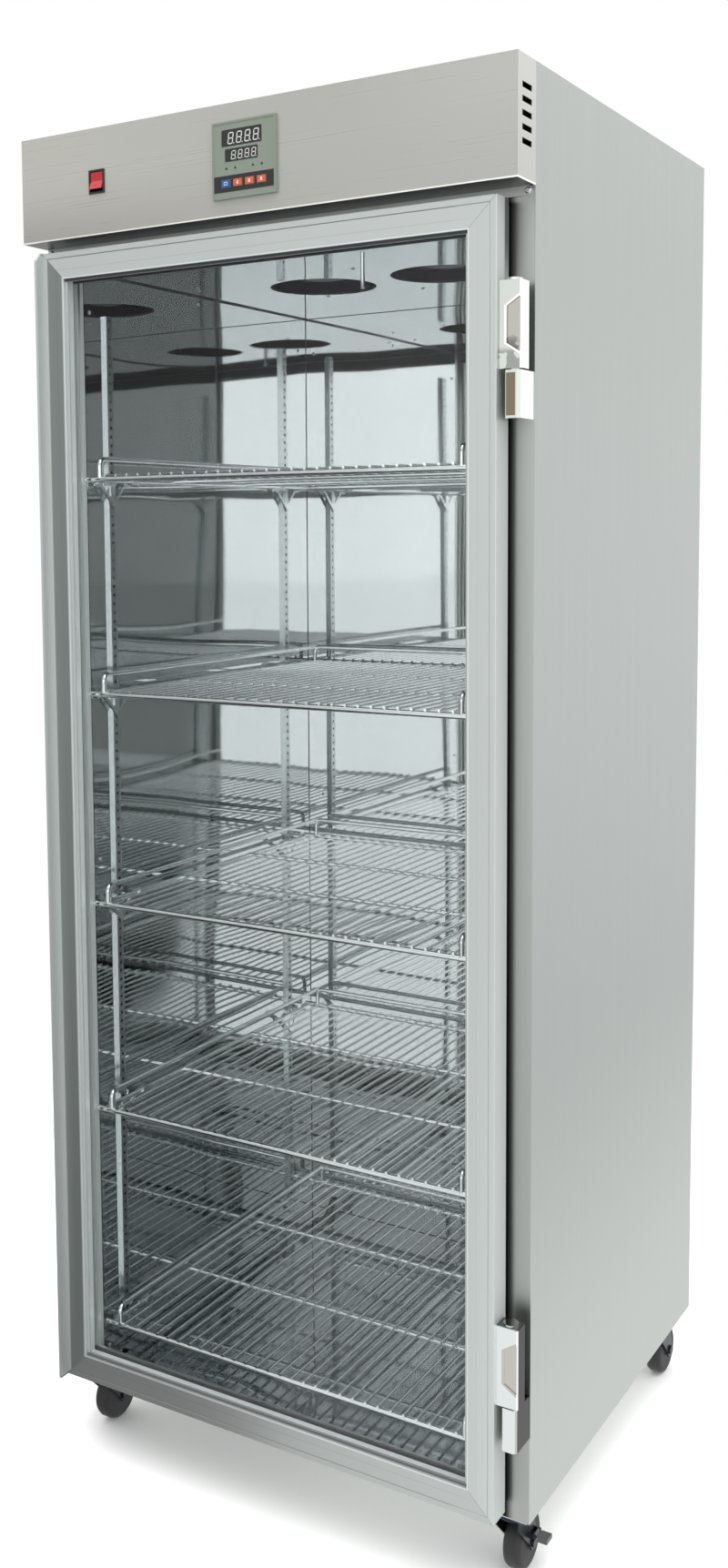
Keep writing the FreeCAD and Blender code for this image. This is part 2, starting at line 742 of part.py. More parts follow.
def make_switch():
    """The lit rocker switch: a housing with a rim, and the rocker that tips in it."""
    middle = (SWITCH_X, SWITCH_MIDDLE)
    rim = centred_box(
        "SwitchRim",
        middle[0],
        f"{FRONT} - switch_rim / 2",
        middle[1],
        "switch_width",
        "switch_rim",
        "switch_height",
    )
    depth = "switch_body_depth"
    shell = centred_box(
        "SwitchShell",
        middle[0],
        f"{FRONT} + {depth} / 2",
        middle[1],
        SWITCH_BODY_WIDTH,
        depth,
        SWITCH_BODY_HEIGHT,
    )
    cavity_depth = f"({depth} + switch_rim)"
    cavity = centred_box(
        "SwitchCavity",
        middle[0],
        f"{FRONT} - switch_rim - switch_wall + {cavity_depth} / 2",
        middle[1],
        f"{SWITCH_BODY_WIDTH} - 2 * switch_wall",
        cavity_depth,
        f"{SWITCH_BODY_HEIGHT} - 2 * switch_wall",
    )
    pin_length = f"{SWITCH_BODY_WIDTH} - switch_wall"
    pin = rod(
        "SwitchPin",
        f"{SWITCH_X} - ({pin_length}) / 2",
        f"{FRONT} + rocker_pivot",
        middle[1],
        "rocker_pin",
        pin_length,
        "+X",
    )
    part("switch_housing", fuse("Switch", cut("SwitchBox", fuse("SwitchBlock", rim, shell), cavity), pin))
    rocker = body("Rocker")
    back = "rocker_pivot"
    face = "-switch_rim - rocker_pivot"
    end = f"({SWITCH_BODY_HEIGHT} / 2 - switch_wall - rocker_room)"
    outline = sketch(
        rocker,
        "YZ_Plane",
        "RockerSide",
        [
            (f"{face} - rocker_crown", end),
            (f"{face} + rocker_crown", "0"),
            (f"{face} - rocker_crown", f"-{end}"),
            (back, f"rocker_pivot - {end}"),
            (back, f"{end} - rocker_pivot"),
        ],
    )
    width = f"{SWITCH_BODY_WIDTH} - 2 * switch_wall - 2 * rocker_clear"
    feature(rocker, "Pad", "RockerBlock", outline, Length=width, Midplane=True)
    bore = circle_sketch(rocker, "YZ_Plane", "RockerBore", "0", "0", "rocker_pin + pin_clear")
    feature(rocker, "Pocket", "RockerPivot", bore, Length="2 * switch_width", Midplane=True)
    place(rocker, SWITCH_X, f"{FRONT} + rocker_pivot", SWITCH_MIDDLE)
    rocker.setExpression(".Placement.Rotation.Axis.x", "1")
    rocker.setExpression(".Placement.Rotation.Axis.z", "0")
    rocker.setExpression(".Placement.Rotation.Angle", bound("-rocker_tilt"))
    part("switch_rocker", rocker)


# Door ----------------------------------------------------------------------------------------


def frame_section():
    """The frame bar in section: distance from the outer edge, then depth from the door front."""
    chamfer = "groove_size"
    rebate = "(frame_width - glazing_rebate)"
    rear_lip = f"(glazing_lip + {GLAZING_SLOT})"
    rim = [
        ("0", chamfer),
        (chamfer, "0"),
        ("frame_groove - groove_size", "0"),
        ("frame_groove", "groove_size"),
        ("frame_groove + groove_size", "0"),
        ("frame_width", "0"),
        ("frame_width", "glazing_lip"),
        (rebate, "glazing_lip"),
        (rebate, rear_lip),
        ("frame_width", rear_lip),
        ("frame_width", "door_thick"),
        (chamfer, "door_thick"),
        ("0", f"door_thick - {chamfer}"),
    ]
    hollow = rectangle("frame_wall", "frame_wall", f"{rebate} - frame_wall", "door_thick - frame_wall")
    return rim, hollow


def make_door_frame():
    """Two stiles and two rails, mitred at the corners."""
    section = frame_section()
    far = "2 * frame_width"
    for side, sign, edge in (("left", "", DOOR_LEFT), ("right", "-", DOOR_RIGHT)):
        stile = body(f"Stile_{side}")
        outlines = [[(f"{sign}({across})", depth) for across, depth in outline] for outline in section]
        bar = sketch(stile, "XY_Plane", f"StileSection_{side}", *outlines)
        feature(stile, "Pad", f"StileBar_{side}", bar, Length=DOOR_HEIGHT)
        low = [("0", "0"), (f"{sign}({far})", far), (f"{sign}({far})", "-frame_width")]
        high = [(across, f"{DOOR_HEIGHT} - ({up})") for across, up in low]
        mitres = sketch(stile, "XZ_Plane", f"StileMitres_{side}", low, high)
        feature(stile, "Pocket", f"StileEnds_{side}", mitres, Length="4 * door_thick", Midplane=True)
        part(f"door_stile_{side}", place(stile, edge, DOOR_FRONT, DOOR_BASE))
    for end, sign, level in (("bottom", "", DOOR_BASE), ("top", "-", DOOR_TOP)):
        rail = body(f"Rail_{end}")
        outlines = [[(depth, f"{sign}({across})") for across, depth in outline] for outline in section]
        bar = sketch(rail, "YZ_Plane", f"RailSection_{end}", *outlines)
        feature(rail, "Pad", f"RailBar_{end}", bar, Length=DOOR_WIDTH, Midplane=True)
        high = f"{sign}({far})"
        left = [(DOOR_LEFT, "0"), (f"{DOOR_LEFT} + {far}", high), (f"{DOOR_LEFT} - frame_width", high)]
        right = [(f"-({across})", up) for across, up in left]
        mitres = sketch(rail, "XZ_Plane", f"RailMitres_{end}", left, right)
        feature(rail, "Pocket", f"RailEnds_{end}", mitres, Length="4 * door_thick", Midplane=True)
        part(f"door_rail_{end}", place(rail, "0", DOOR_FRONT, level))


def door_ring(name, outer, inner, front, depth):
    """A flat ring behind the door front, between two distances from the door edge."""
    layers = [
        box(
            f"{name}_{layer}",
            f"{DOOR_LEFT} + {edge}",
            f"{DOOR_FRONT} + {front} - {spare}",
            f"{DOOR_BASE} + {edge}",
            f"{DOOR_WIDTH} - 2 * ({edge})",
            f"{depth} + 2 * ({spare})",
            f"{DOOR_HEIGHT} - 2 * ({edge})",
        )
        for layer, edge, spare in (("outer", outer, "0"), ("inner", inner, "pane_gauge"))
    ]
    return cut(name, *layers)


def make_glazing():
    """Two panes on a spacer, with seals between the panes and the frame."""
    pane_edge = "(frame_width - glazing_rebate + pane_clear)"
    rear_pane = f"({PANE_FRONT} + pane_gauge + pane_gap)"
    for face, front in (("outer", PANE_FRONT), ("inner", rear_pane)):
        pane = box(
            f"Pane_{face}",
            f"{DOOR_LEFT} + {pane_edge}",
            f"{DOOR_FRONT} + {front}",
            f"{DOOR_BASE} + {pane_edge}",
            f"{DOOR_WIDTH} - 2 * {pane_edge}",
            "pane_gauge",
            f"{DOOR_HEIGHT} - 2 * {pane_edge}",
        )
        part(f"glass_{face}", pane)
    spacer_front = f"({PANE_FRONT} + pane_gauge)"
    spacer_inner = f"({pane_edge} + spacer_width)"
    part("glass_spacer", door_ring("Spacer", pane_edge, spacer_inner, spacer_front, "pane_gap"))
    seal_inner = "(frame_width + seal_overhang)"
    front_seal = door_ring("SealFront", pane_edge, seal_inner, "glazing_lip", "seal_front")
    rear_seal = door_ring("SealRear", pane_edge, seal_inner, f"({rear_pane} + pane_gauge)", "seal_rear")
    part("glazing_seals", group("Seals", front_seal, rear_seal))
    gasket_inner = "(gasket_inset + gasket_width)"
    gasket_depth = f"({BODY_FRONT} - gasket_clear - {DOOR_BACK})"
    part("door_gasket", door_ring("Gasket", "gasket_inset", gasket_inner, "door_thick", gasket_depth))


def make_pull():
    """The full-height angle on the left edge that the door is pulled by."""
    pull = body("Pull")
    nose = [("-pull_reach + pull_chamfer", DOOR_HEIGHT), ("-pull_reach", f"{DOOR_HEIGHT} - pull_chamfer")]
    foot = ("-pull_reach", "0")
    side = [foot, ("door_thick", "0"), ("door_thick", DOOR_HEIGHT), *nose]
    plate = sketch(pull, "YZ_Plane", "PullSide", side)
    feature(pull, "Pad", "PullPlate", plate, Length="pull_plate", Reversed=True)
    lip = sketch(pull, "YZ_Plane", "PullLip", [foot, ("0", "0"), ("0", DOOR_HEIGHT), *nose])
    feature(pull, "Pad", "PullEdge", lip, Length="pull_gauge")
    part("door_pull", place(pull, DOOR_LEFT, DOOR_FRONT, DOOR_BASE))


def make_hinges():
    """Two hinges: leaves on the door edge, turning on pins that stand in the body brackets."""
    half = "leaf_depth / 2"
    west = f"({DOOR_RIGHT} - {PIN_X})"
    east = f"({RIGHT} + leaf_overhang - {PIN_X})"
    leaf = body("Leaf")
    outline = [
        (west, f"-{half}"),
        (f"{east} - leaf_chamfer", f"-{half}"),
        (east, f"-{half} + leaf_chamfer"),
        (east, f"{half} - leaf_chamfer"),
        (f"{east} - leaf_chamfer", half),
        (west, half),
    ]
    plan = sketch(leaf, "XY_Plane", "LeafPlan", outline)
    feature(leaf, "Pad", "LeafBlock", plan, Length="leaf_height")
    cap = circle_sketch(leaf, "XY_Plane", "LeafCapPlan", "0", "0", "cap_radius")
    cap.setExpression(".AttachmentOffset.Base.z", bound("leaf_height"))
    feature(leaf, "Pad", "LeafCap", cap, Length="cap_height")
    inner_x = f"{east} - recess_width"
    recess = sketch(
        leaf,
        "XZ_Plane",
        "LeafRecessPlan",
        [
            (f"{east} + leaf_chamfer", "recess_edge"),
            (f"{east} + leaf_chamfer", "leaf_height - recess_edge"),
            (inner_x, "leaf_height - recess_edge - recess_taper"),
            (inner_x, "recess_edge + recess_taper"),
        ],
    )
    recess.setExpression(".AttachmentOffset.Base.z", bound(half))
    feature(leaf, "Pocket", "LeafRecess", recess, Length="leaf_recess")
    bore = circle_sketch(leaf, "XY_Plane", "LeafBorePlan", "0", "0", "pin_radius + pin_clear")
    feature(leaf, "Pocket", "LeafBore", bore, Length="pin_reach + pin_radius", Reversed=True)
    place(leaf, PIN_X, PIN_Y, LEAF_BASE)
    part("hinge_leaves", group("Leaves", leaf, copy_of("LeafLower", leaf, z=f"-{HINGE_SPACING}")))
    make_brackets()


def make_brackets():
    """The body half of each hinge: plate, web, knuckle, washer and pin."""
    knuckle_base = f"({LEAF_BASE} - knuckle_gap - knuckle_height)"
    plate_y = f"({BODY_FRONT} - bracket_gauge)"
    knuckle = rod("Knuckle", PIN_X, PIN_Y, knuckle_base, "knuckle_radius", "knuckle_height")
    web = box(
        "KnuckleWeb",
        f"{PIN_X} - knuckle_radius",
        PIN_Y,
        knuckle_base,
        "2 * knuckle_radius",
        f"{plate_y} - {PIN_Y}",
        "knuckle_height",
    )
    plate = box(
        "KnucklePlate",
        f"{PIN_X} - bracket_width / 2",
        plate_y,
        knuckle_base,
        "bracket_width",
        "bracket_gauge",
        "knuckle_height",
    )
    washer_height = "knuckle_height + knuckle_gap - washer_clear"
    washer = rod("KnuckleWasher", PIN_X, PIN_Y, knuckle_base, "washer_radius", washer_height)
    pin_length = "knuckle_height + knuckle_gap + pin_reach"
    pin = rod("HingePin", PIN_X, PIN_Y, knuckle_base, "pin_radius", pin_length)
    bracket = fuse("Bracket", knuckle, web, plate, washer, pin)
    lower = copy_of("BracketLower", bracket, z=f"-{HINGE_SPACING}")
    part("hinge_brackets", group("Brackets", bracket, lower))


# Shelf strips, clips and shelves -------------------------------------------------------------


def four_places(name, front_left, rear_step):
    """A piece at the front left, and the same at the rear left and on the right side."""
    left = group(f"{name}_left", front_left, copy_of(f"{name}_rear", front_left, y=rear_step))
    return group(name, left, mirrored(f"{name}_right", left))


def make_strips():
    """Four perforated channels that the shelf clips hook into."""
    strip = body("Strip")
    half = "strip_width / 2"
    bore = "strip_depth - strip_gauge"
    channel = [
        ("0", f"-{half}"),
        ("strip_depth", f"-{half}"),
        ("strip_depth", half),
        ("0", half),
        ("0", f"{half} - strip_gauge"),
        (bore, f"{half} - strip_gauge"),
        (bore, f"-{half} + strip_gauge"),
        ("0", f"-{half} + strip_gauge"),
    ]
    plan = sketch(strip, "XY_Plane", "StripPlan", channel)
    feature(strip, "Pad", "StripChannel", plan, Length=STRIP_LENGTH)
    top_inset = "mod(shelf_top + clip_drop - strip_top; hole_pitch)"
    hole_count = f"(floor(({STRIP_LENGTH} - {top_inset} - 2 * hole_radius) / hole_pitch) + 1)"
    first = f"{STRIP_LENGTH} - {top_inset}"
    hole = circle_sketch(strip, "YZ_Plane", "StripHolePlan", "0", first, "hole_radius")
    punched = feature(strip, "Pocket", "StripHole", hole, Length="4 * strip_depth", Midplane=True)
    holes = line_pattern(
        strip, "StripHoles", punched, "Z_Axis", f"hole_pitch * ({hole_count} - 1)", hole_count
    )
    holes.Reversed = True
    place(strip, INNER_LEFT, STRIP_FRONT, STRIP_BASE)
    part("shelf_strips", four_places("Strips", strip, f"{STRIP_BACK} - {STRIP_FRONT}"))


def shelf_drops():
    """Distances from the top shelf down to each shelf, in whole steps of the strip holes."""
    all_holes = "round((cab_height - shelf_top - floor_rise - shelf_low) / hole_pitch)"
    regular = [f"{number} * floor({all_holes} / 4) * hole_pitch" for number in range(4)]
    return [*regular, f"{all_holes} * hole_pitch"]


def make_clips():
    """Flat clips: a peg in the strip, and two arms with saddles that hold a shelf side bar."""
    web_x = f"({INNER_LEFT} + strip_depth)"
    level = SHELF_LEVEL
    seat = "(-shelf_side_bar)"
    under = f"({seat} - clip_gauge)"
    foot = f"({seat} - clip_web)"
    inner = "(clip_arm - clip_saddle)"
    slope = f"({inner} + clip_web / 2)"
    arms = body("ClipArms")
    outline = [
        ("-clip_arm", seat),
        (f"-{inner}", seat),
        ("0", f"{seat} - {inner}"),
        (inner, seat),
        ("clip_arm", seat),
        ("clip_arm", foot),
        (slope, foot),
        ("0", f"{foot} - {slope}"),
        (f"-{slope}", foot),
        ("-clip_arm", foot),
    ]
    side = sketch(arms, "YZ_Plane", "ClipSide", outline)
    feature(arms, "Pad", "ClipPlate", side, Length="clip_gauge")
    place(arms, web_x, STRIP_FRONT, level)
    saddles = []
    half_saddle = "(shelf_side_bar + saddle_clear + clip_gauge)"
    saddle_height = f"clip_lip - {under}"
    for end, low_y in (("front", f"{STRIP_FRONT} - clip_arm"), ("rear", f"{STRIP_FRONT} + {inner}")):
        block = box(
            f"Saddle_{end}",
            f"{web_x} + clip_seat - {half_saddle}",
            low_y,
            f"{level} + {under}",
            f"2 * {half_saddle}",
            "clip_saddle",
            saddle_height,
        )
        groove = box(
            f"SaddleGroove_{end}",
            f"{web_x} + clip_seat - shelf_side_bar - saddle_clear",
            f"{low_y} - clip_gauge",
            f"{level} + {seat}",
            "2 * (shelf_side_bar + saddle_clear)",
            "clip_saddle + 2 * clip_gauge",
            saddle_height,
        )
        saddles.append(cut(f"SaddleChannel_{end}", block, groove))
        reach = f"clip_seat + {half_saddle}"
        saddles.append(
            box(f"Seat_{end}", web_x, low_y, f"{level} + {under}", reach, "clip_saddle", "clip_gauge")
        )
    tab_base = f"{level} + {seat} - {inner} - clip_gauge"
    tab = box(
        "ClipTab",
        web_x,
        f"{STRIP_FRONT} - clip_tab / 2",
        tab_base,
        "clip_gauge",
        "clip_tab",
        f"{inner}",
    )
    peg = rod(
        "ClipPeg",
        f"{web_x} - peg_length",
        STRIP_FRONT,
        f"{level} - clip_drop",
        "peg_radius",
        "peg_length + clip_gauge",
        "+X",
    )
    clip = fuse("Clip", arms, *saddles, tab, peg)
    top_four = four_places("Clips", clip, f"{STRIP_BACK} - {STRIP_FRONT}")
    rows = [
        copy_of(f"ClipRow_{number}", top_four, z=f"-({drop})")
        for number, drop in enumerate(shelf_drops(), start=1)
    ]
    part("shelf_clips", group("ClipRows", *rows))


def make_guard():
    """The right side of the guard rail: two legs, their bends and the rail between them."""
    bend_z = f"{SHELF_LEVEL} + guard_height - guard_bend"
    leg_height = "guard_height - guard_bend"
    low_y = f"({SHELF_FRONT} + guard_bend)"
    top_z = f"{SHELF_LEVEL} + guard_height"
    run = f"{SHELF_BACK} - {low_y}"
    corner_x = f"{GUARD_SIDE} - guard_bend"
    shapes = [
        rod("GuardLegFront", GUARD_SIDE, SHELF_FRONT, SHELF_LEVEL, "guard_radius", leg_height),
        elbow("GuardBend", GUARD_SIDE, low_y, bend_z, "guard_radius", "guard_bend", "-Y", "+Z"),
        rod("GuardSide", GUARD_SIDE, low_y, top_z, "guard_radius", run, "+Y"),
        rod("GuardLegRear", GUARD_SIDE, SHELF_BACK, SHELF_LEVEL, "guard_radius", leg_height),
        elbow("GuardCorner", corner_x, SHELF_BACK, bend_z, "guard_radius", "guard_bend", "+X", "+Z"),
    ]
    return fuse("GuardRight", *shapes)


def make_shelves():
    """Welded wire shelves with a guard rail along the sides and the back."""
    bar_end = f"({SIDE_BAR} + shelf_ends)"
    wires = [
        rod(f"ShelfBar_{end}", f"-{bar_end}", y, SHELF_LEVEL, "shelf_bar", f"2 * {bar_end}", "+X")
        for end, y in (("front", SHELF_FRONT), ("rear", SHELF_BACK))
    ]
    wires += [
        rod(f"ShelfSide_{side}", x, SHELF_FRONT, SHELF_LEVEL, "shelf_side_bar", SHELF_DEPTH, "+Y")
        for side, x in (("left", f"-{SIDE_BAR}"), ("right", SIDE_BAR))
    ]
    brace_z = f"{SHELF_LEVEL} + shelf_bar - brace_radius"
    brace_length = f"2 * {SIDE_BAR}"
    wires += [
        rod(f"ShelfBrace_{step}", f"-{SIDE_BAR}", y, brace_z, "brace_radius", brace_length, "+X")
        for step, y in ((step, f"{SHELF_FRONT} + {step} * {SHELF_DEPTH} / 3") for step in (1, 2))
    ]
    rung_z = f"{SHELF_LEVEL} + shelf_bar + rung_radius - weld_sink"
    rung_y = f"{SHELF_FRONT} - rung_overhang"
    rung_length = f"{SHELF_DEPTH} + 2 * rung_overhang"
    rung_pitch = f"({SIDE_BAR} - rung_inset) / 14"
    wires += [
        rod(f"Rung_{step + 15}", f"{step} * {rung_pitch}", rung_y, rung_z, "rung_radius", rung_length, "+Y")
        for step in range(-14, 15)
    ]
    guard = make_guard()
    back_x = f"({GUARD_SIDE} - guard_bend)"
    back_z = f"{SHELF_LEVEL} + guard_height"
    back_rail = rod("GuardBack", f"-{back_x}", SHELF_BACK, back_z, "guard_radius", f"2 * {back_x}", "+X")
    shelf = fuse("ShelfWires", *wires, guard, mirrored("GuardLeft", guard), back_rail)
    part("shelf_1", shelf)
    drops = shelf_drops()
    for number in range(2, 6):
        shift = "shelf_last_shift" if number == 5 else "0"
        lower = copy_of(f"Shelf_{number}", shelf, y=shift, z=f"-({drops[number - 1]})")
        part(f"shelf_{number}", lower)


# Fan chamber and control gear ----------------------------------------------------------------


def make_fans():
    """Two axial rotors over the ceiling holes, each hanging from a motor on a ring and bridge."""
    ceiling_top = f"({CEILING} + liner_gauge)"
    rotor_z = f"({CEILING} + fan_lift)"
    motor_z = f"({rotor_z} + fan_height + motor_gap)"
    bridge_z = f"({motor_z} + motor_height)"
    fan_x = f"-{FAN_SPACING} / 2"
    fan_y = f"({FRONT} + fan_setback)"
    rotor = body("Rotor")
    hub = circle_sketch(rotor, "XY_Plane", "RotorHubPlan", "0", "0", "fan_hub")
    feature(rotor, "Pad", "RotorHub", hub, Length="fan_height")
    half = "blade_chord / 2"
    low = "(fan_height - blade_rise) / 2"
    high = "(fan_height + blade_rise) / 2"
    section = [
        (f"-{half}", low),
        (half, high),
        (half, f"{high} + blade_gauge"),
        (f"-{half}", f"{low} + blade_gauge"),
    ]
    blade_section = sketch(rotor, "YZ_Plane", "BladeSection", section)
    blade = feature(rotor, "Pad", "Blade", blade_section, Length="fan_hole - fan_tip")
    blades = rotor.newObject("PartDesign::PolarPattern", "Blades")
    blades.Originals = [blade]
    turning_axis = next(item for item in rotor.Origin.OriginFeatures if item.Role == "Z_Axis")
    blades.Axis = (turning_axis, [""])
    blades.Angle = 360
    blades.setExpression("Occurrences", bound("blade_count"))
    rotor.Tip = blades
    shaft = circle_sketch(rotor, "XY_Plane", "ShaftPlan", "0", "0", "shaft_radius")
    shaft_length = "fan_height + motor_gap + shaft_reach"
    feature(rotor, "Pad", "Shaft", shaft, Length=shaft_length)
    part("fan_rotor_left", place(rotor, fan_x, fan_y, rotor_z))
    part("fan_rotor_right", copy_of("RotorRight", rotor, x=FAN_SPACING))

    outer = "(fan_hole + mount_rim)"
    disc = rod("MountDisc", fan_x, fan_y, ceiling_top, outer, "mount_gauge")
    opening = rod("MountOpening", fan_x, fan_y, f"{ceiling_top} - mount_gauge", "fan_hole", "3 * mount_gauge")
    ring = cut("MountRing", disc, opening)
    post_length = f"{bridge_z} - {ceiling_top}"
    posts = [
        rod(
            f"MountPost_{side}",
            f"{fan_x} {sign} (fan_hole + mount_rim / 2)",
            fan_y,
            ceiling_top,
            "mount_rod",
            post_length,
        )
        for side, sign in (("left", "-"), ("right", "+"))
    ]
    bridge_middle = f"{bridge_z} + mount_gauge / 2"
    bridge = centred_box(
        "MountBridge", fan_x, fan_y, bridge_middle, f"2 * {outer}", "mount_width", "mount_gauge"
    )
    motor_block = rod("MotorBlock", fan_x, fan_y, motor_z, "motor_radius", "motor_height")
    shaft_hole = rod(
        "MotorBore",
        fan_x,
        fan_y,
        f"{motor_z} - motor_gap",
        "shaft_radius + shaft_clear",
        "shaft_reach + shaft_radius + motor_gap",
    )
    motor = cut("Motor", motor_block, shaft_hole)
    mount = fuse("Mount", ring, *posts, bridge, motor)
    part("fan_mounts", group("Mounts", mount, copy_of("MountRight", mount, x=FAN_SPACING)))


def make_heaters():
    """Two hairpin heaters beside the fans, held by nuts on both faces of the bulkhead."""
    heater_z = f"({CEILING} + heater_lift)"
    rear_face = f"({BULKHEAD} + bulkhead_gauge)"
    ring_edge = f"({FAN_SPACING} / 2 + fan_hole + mount_rim)"
    middle = f"(({INNER_RIGHT} + {ring_edge}) / 2)"
    half = f"(({INNER_RIGHT} - {ring_edge}) / 2 - heater_room)"
    stub = "(heater_stub + bulkhead_gauge)"
    straight = f"(heater_length - {half})"
    shapes = [
        elbow(
            "HeaterBend",
            middle,
            f"{rear_face} + {straight}",
            heater_z,
            "heater_radius",
            half,
            "+X",
            "+Y",
            "180",
        )
    ]
    holes = []
    for leg, x in (("inner", f"{middle} - {half}"), ("outer", f"{middle} + {half}")):
        leg_y = f"{rear_face} - {stub}"
        leg_length = f"{straight} + {stub}"
        shapes.append(rod(f"HeaterLeg_{leg}", x, leg_y, heater_z, "heater_radius", leg_length, "+Y"))
        for face, y in (("front", f"{BULKHEAD} - heater_nut_gauge"), ("rear", rear_face)):
            name = f"HeaterNut_{leg}_{face}"
            shapes.append(rod(name, x, y, heater_z, "heater_nut", "heater_nut_gauge", "+Y"))
        hole_y = f"{BULKHEAD} - bulkhead_gauge"
        hole_radius = "heater_radius + heater_clear"
        through = "3 * bulkhead_gauge"
        holes.append(rod(f"HeaterHole_{leg}", x, hole_y, heater_z, hole_radius, through, "+Y"))
    heater = fuse("Heater", *shapes)
    part("heater_elements", group("Heaters", heater, mirrored("HeaterLeft", heater)))
    make_bulkhead(heater_z, holes)


def make_bulkhead(gear_z, holes):
    """The plate between the fan chamber and the controls, with the terminal block and relay."""
    plate_z = f"({CEILING} + liner_gauge)"
    plate_height = f"{TOP} - skin - {plate_z}"
    outer_width = f"{INNER_WIDTH} + 2 * liner_gauge"
    plate = box(
        "BulkheadSheet",
        f"{INNER_LEFT} - liner_gauge",
        BULKHEAD,
        plate_z,
        outer_width,
        "bulkhead_gauge",
        plate_height,
    )
    right_holes = group("BulkheadHolesRight", *holes)
    bulkhead = cut("Bulkhead", plate, right_holes, mirrored("BulkheadHolesLeft", right_holes))
    terminals = centred_box(
        "Terminals",
        "-terminal_length / 2 - relay_width / 2",
        f"{BULKHEAD} - terminal_depth / 2",
        gear_z,
        "terminal_length",
        "terminal_depth",
        "terminal_height",
    )
    relay = centred_box(
        "Relay",
        "relay_width",
        f"{BULKHEAD} - relay_depth / 2",
        gear_z,
        "relay_width",
        "relay_depth",
        "relay_height",
    )
    part("control_bulkhead", group("ControlGear", bulkhead, terminals, relay))


def make_probe():
    """The temperature probe that hangs through the ceiling on its collar."""
    probe_y = f"{FRONT} + probe_setback"
    stem_length = "probe_drop + probe_rise"
    stem = rod("ProbeStem", "probe_x", probe_y, f"{CEILING} - probe_drop", "probe_radius", stem_length)
    collar_z = f"{CEILING} + liner_gauge"
    collar = rod("ProbeCollar", "probe_x", probe_y, collar_z, "probe_collar", "probe_collar_gauge")
    part("temperature_probe", fuse("Probe", stem, collar))


def make_gland():
    """The supply gland in the back panel, with its nut inside."""
    z = f"{TOP} - gland_drop"
    nut_y = f"({BACK} - skin - gland_flange_gauge)"
    dome_length = f"{BACK} + gland_reach - {nut_y}"
    shapes = [
        rod("GlandFlange", GLAND_X, BACK, z, "gland_flange", "gland_flange_gauge", "+Y"),
        rod("GlandNut", GLAND_X, nut_y, z, "gland_flange", "gland_flange_gauge", "+Y"),
        rod("GlandBarrel", GLAND_X, nut_y, z, "gland_radius - gland_clear", dome_length, "+Y"),
    ]
    bore_y = f"{nut_y} - gland_flange_gauge"
    bore_length = f"{dome_length} + 2 * gland_flange_gauge"
    bore = rod("GlandBore", GLAND_X, bore_y, z, "gland_bore", bore_length, "+Y")
    part("cable_gland", cut("Gland", fuse("GlandBlock", *shapes), bore))


def make_screws():
    """The round-headed screws at the ends of the rail under the header."""
    middle_z = f"{HEADER_BASE} - rail_height / 2"
    cone = {"Radius1": "screw_radius", "Radius2": "screw_tip", "Height": "screw_rise"}
    heads = []
    for side, x in (("left", f"{LEFT} + rail_inset"), ("right", f"{RIGHT} - rail_inset - rail_height")):
        head = primitive("Cone", f"Screw_{side}", **cone)
        place(head, f"{x} + rail_height / 2", f"{BODY_FRONT} - rail_gauge", middle_z, along("-Y"))
        heads.append(head)
    part("rail_screws", group("Screws", *heads))


# Castors -------------------------------------------------------------------------------------


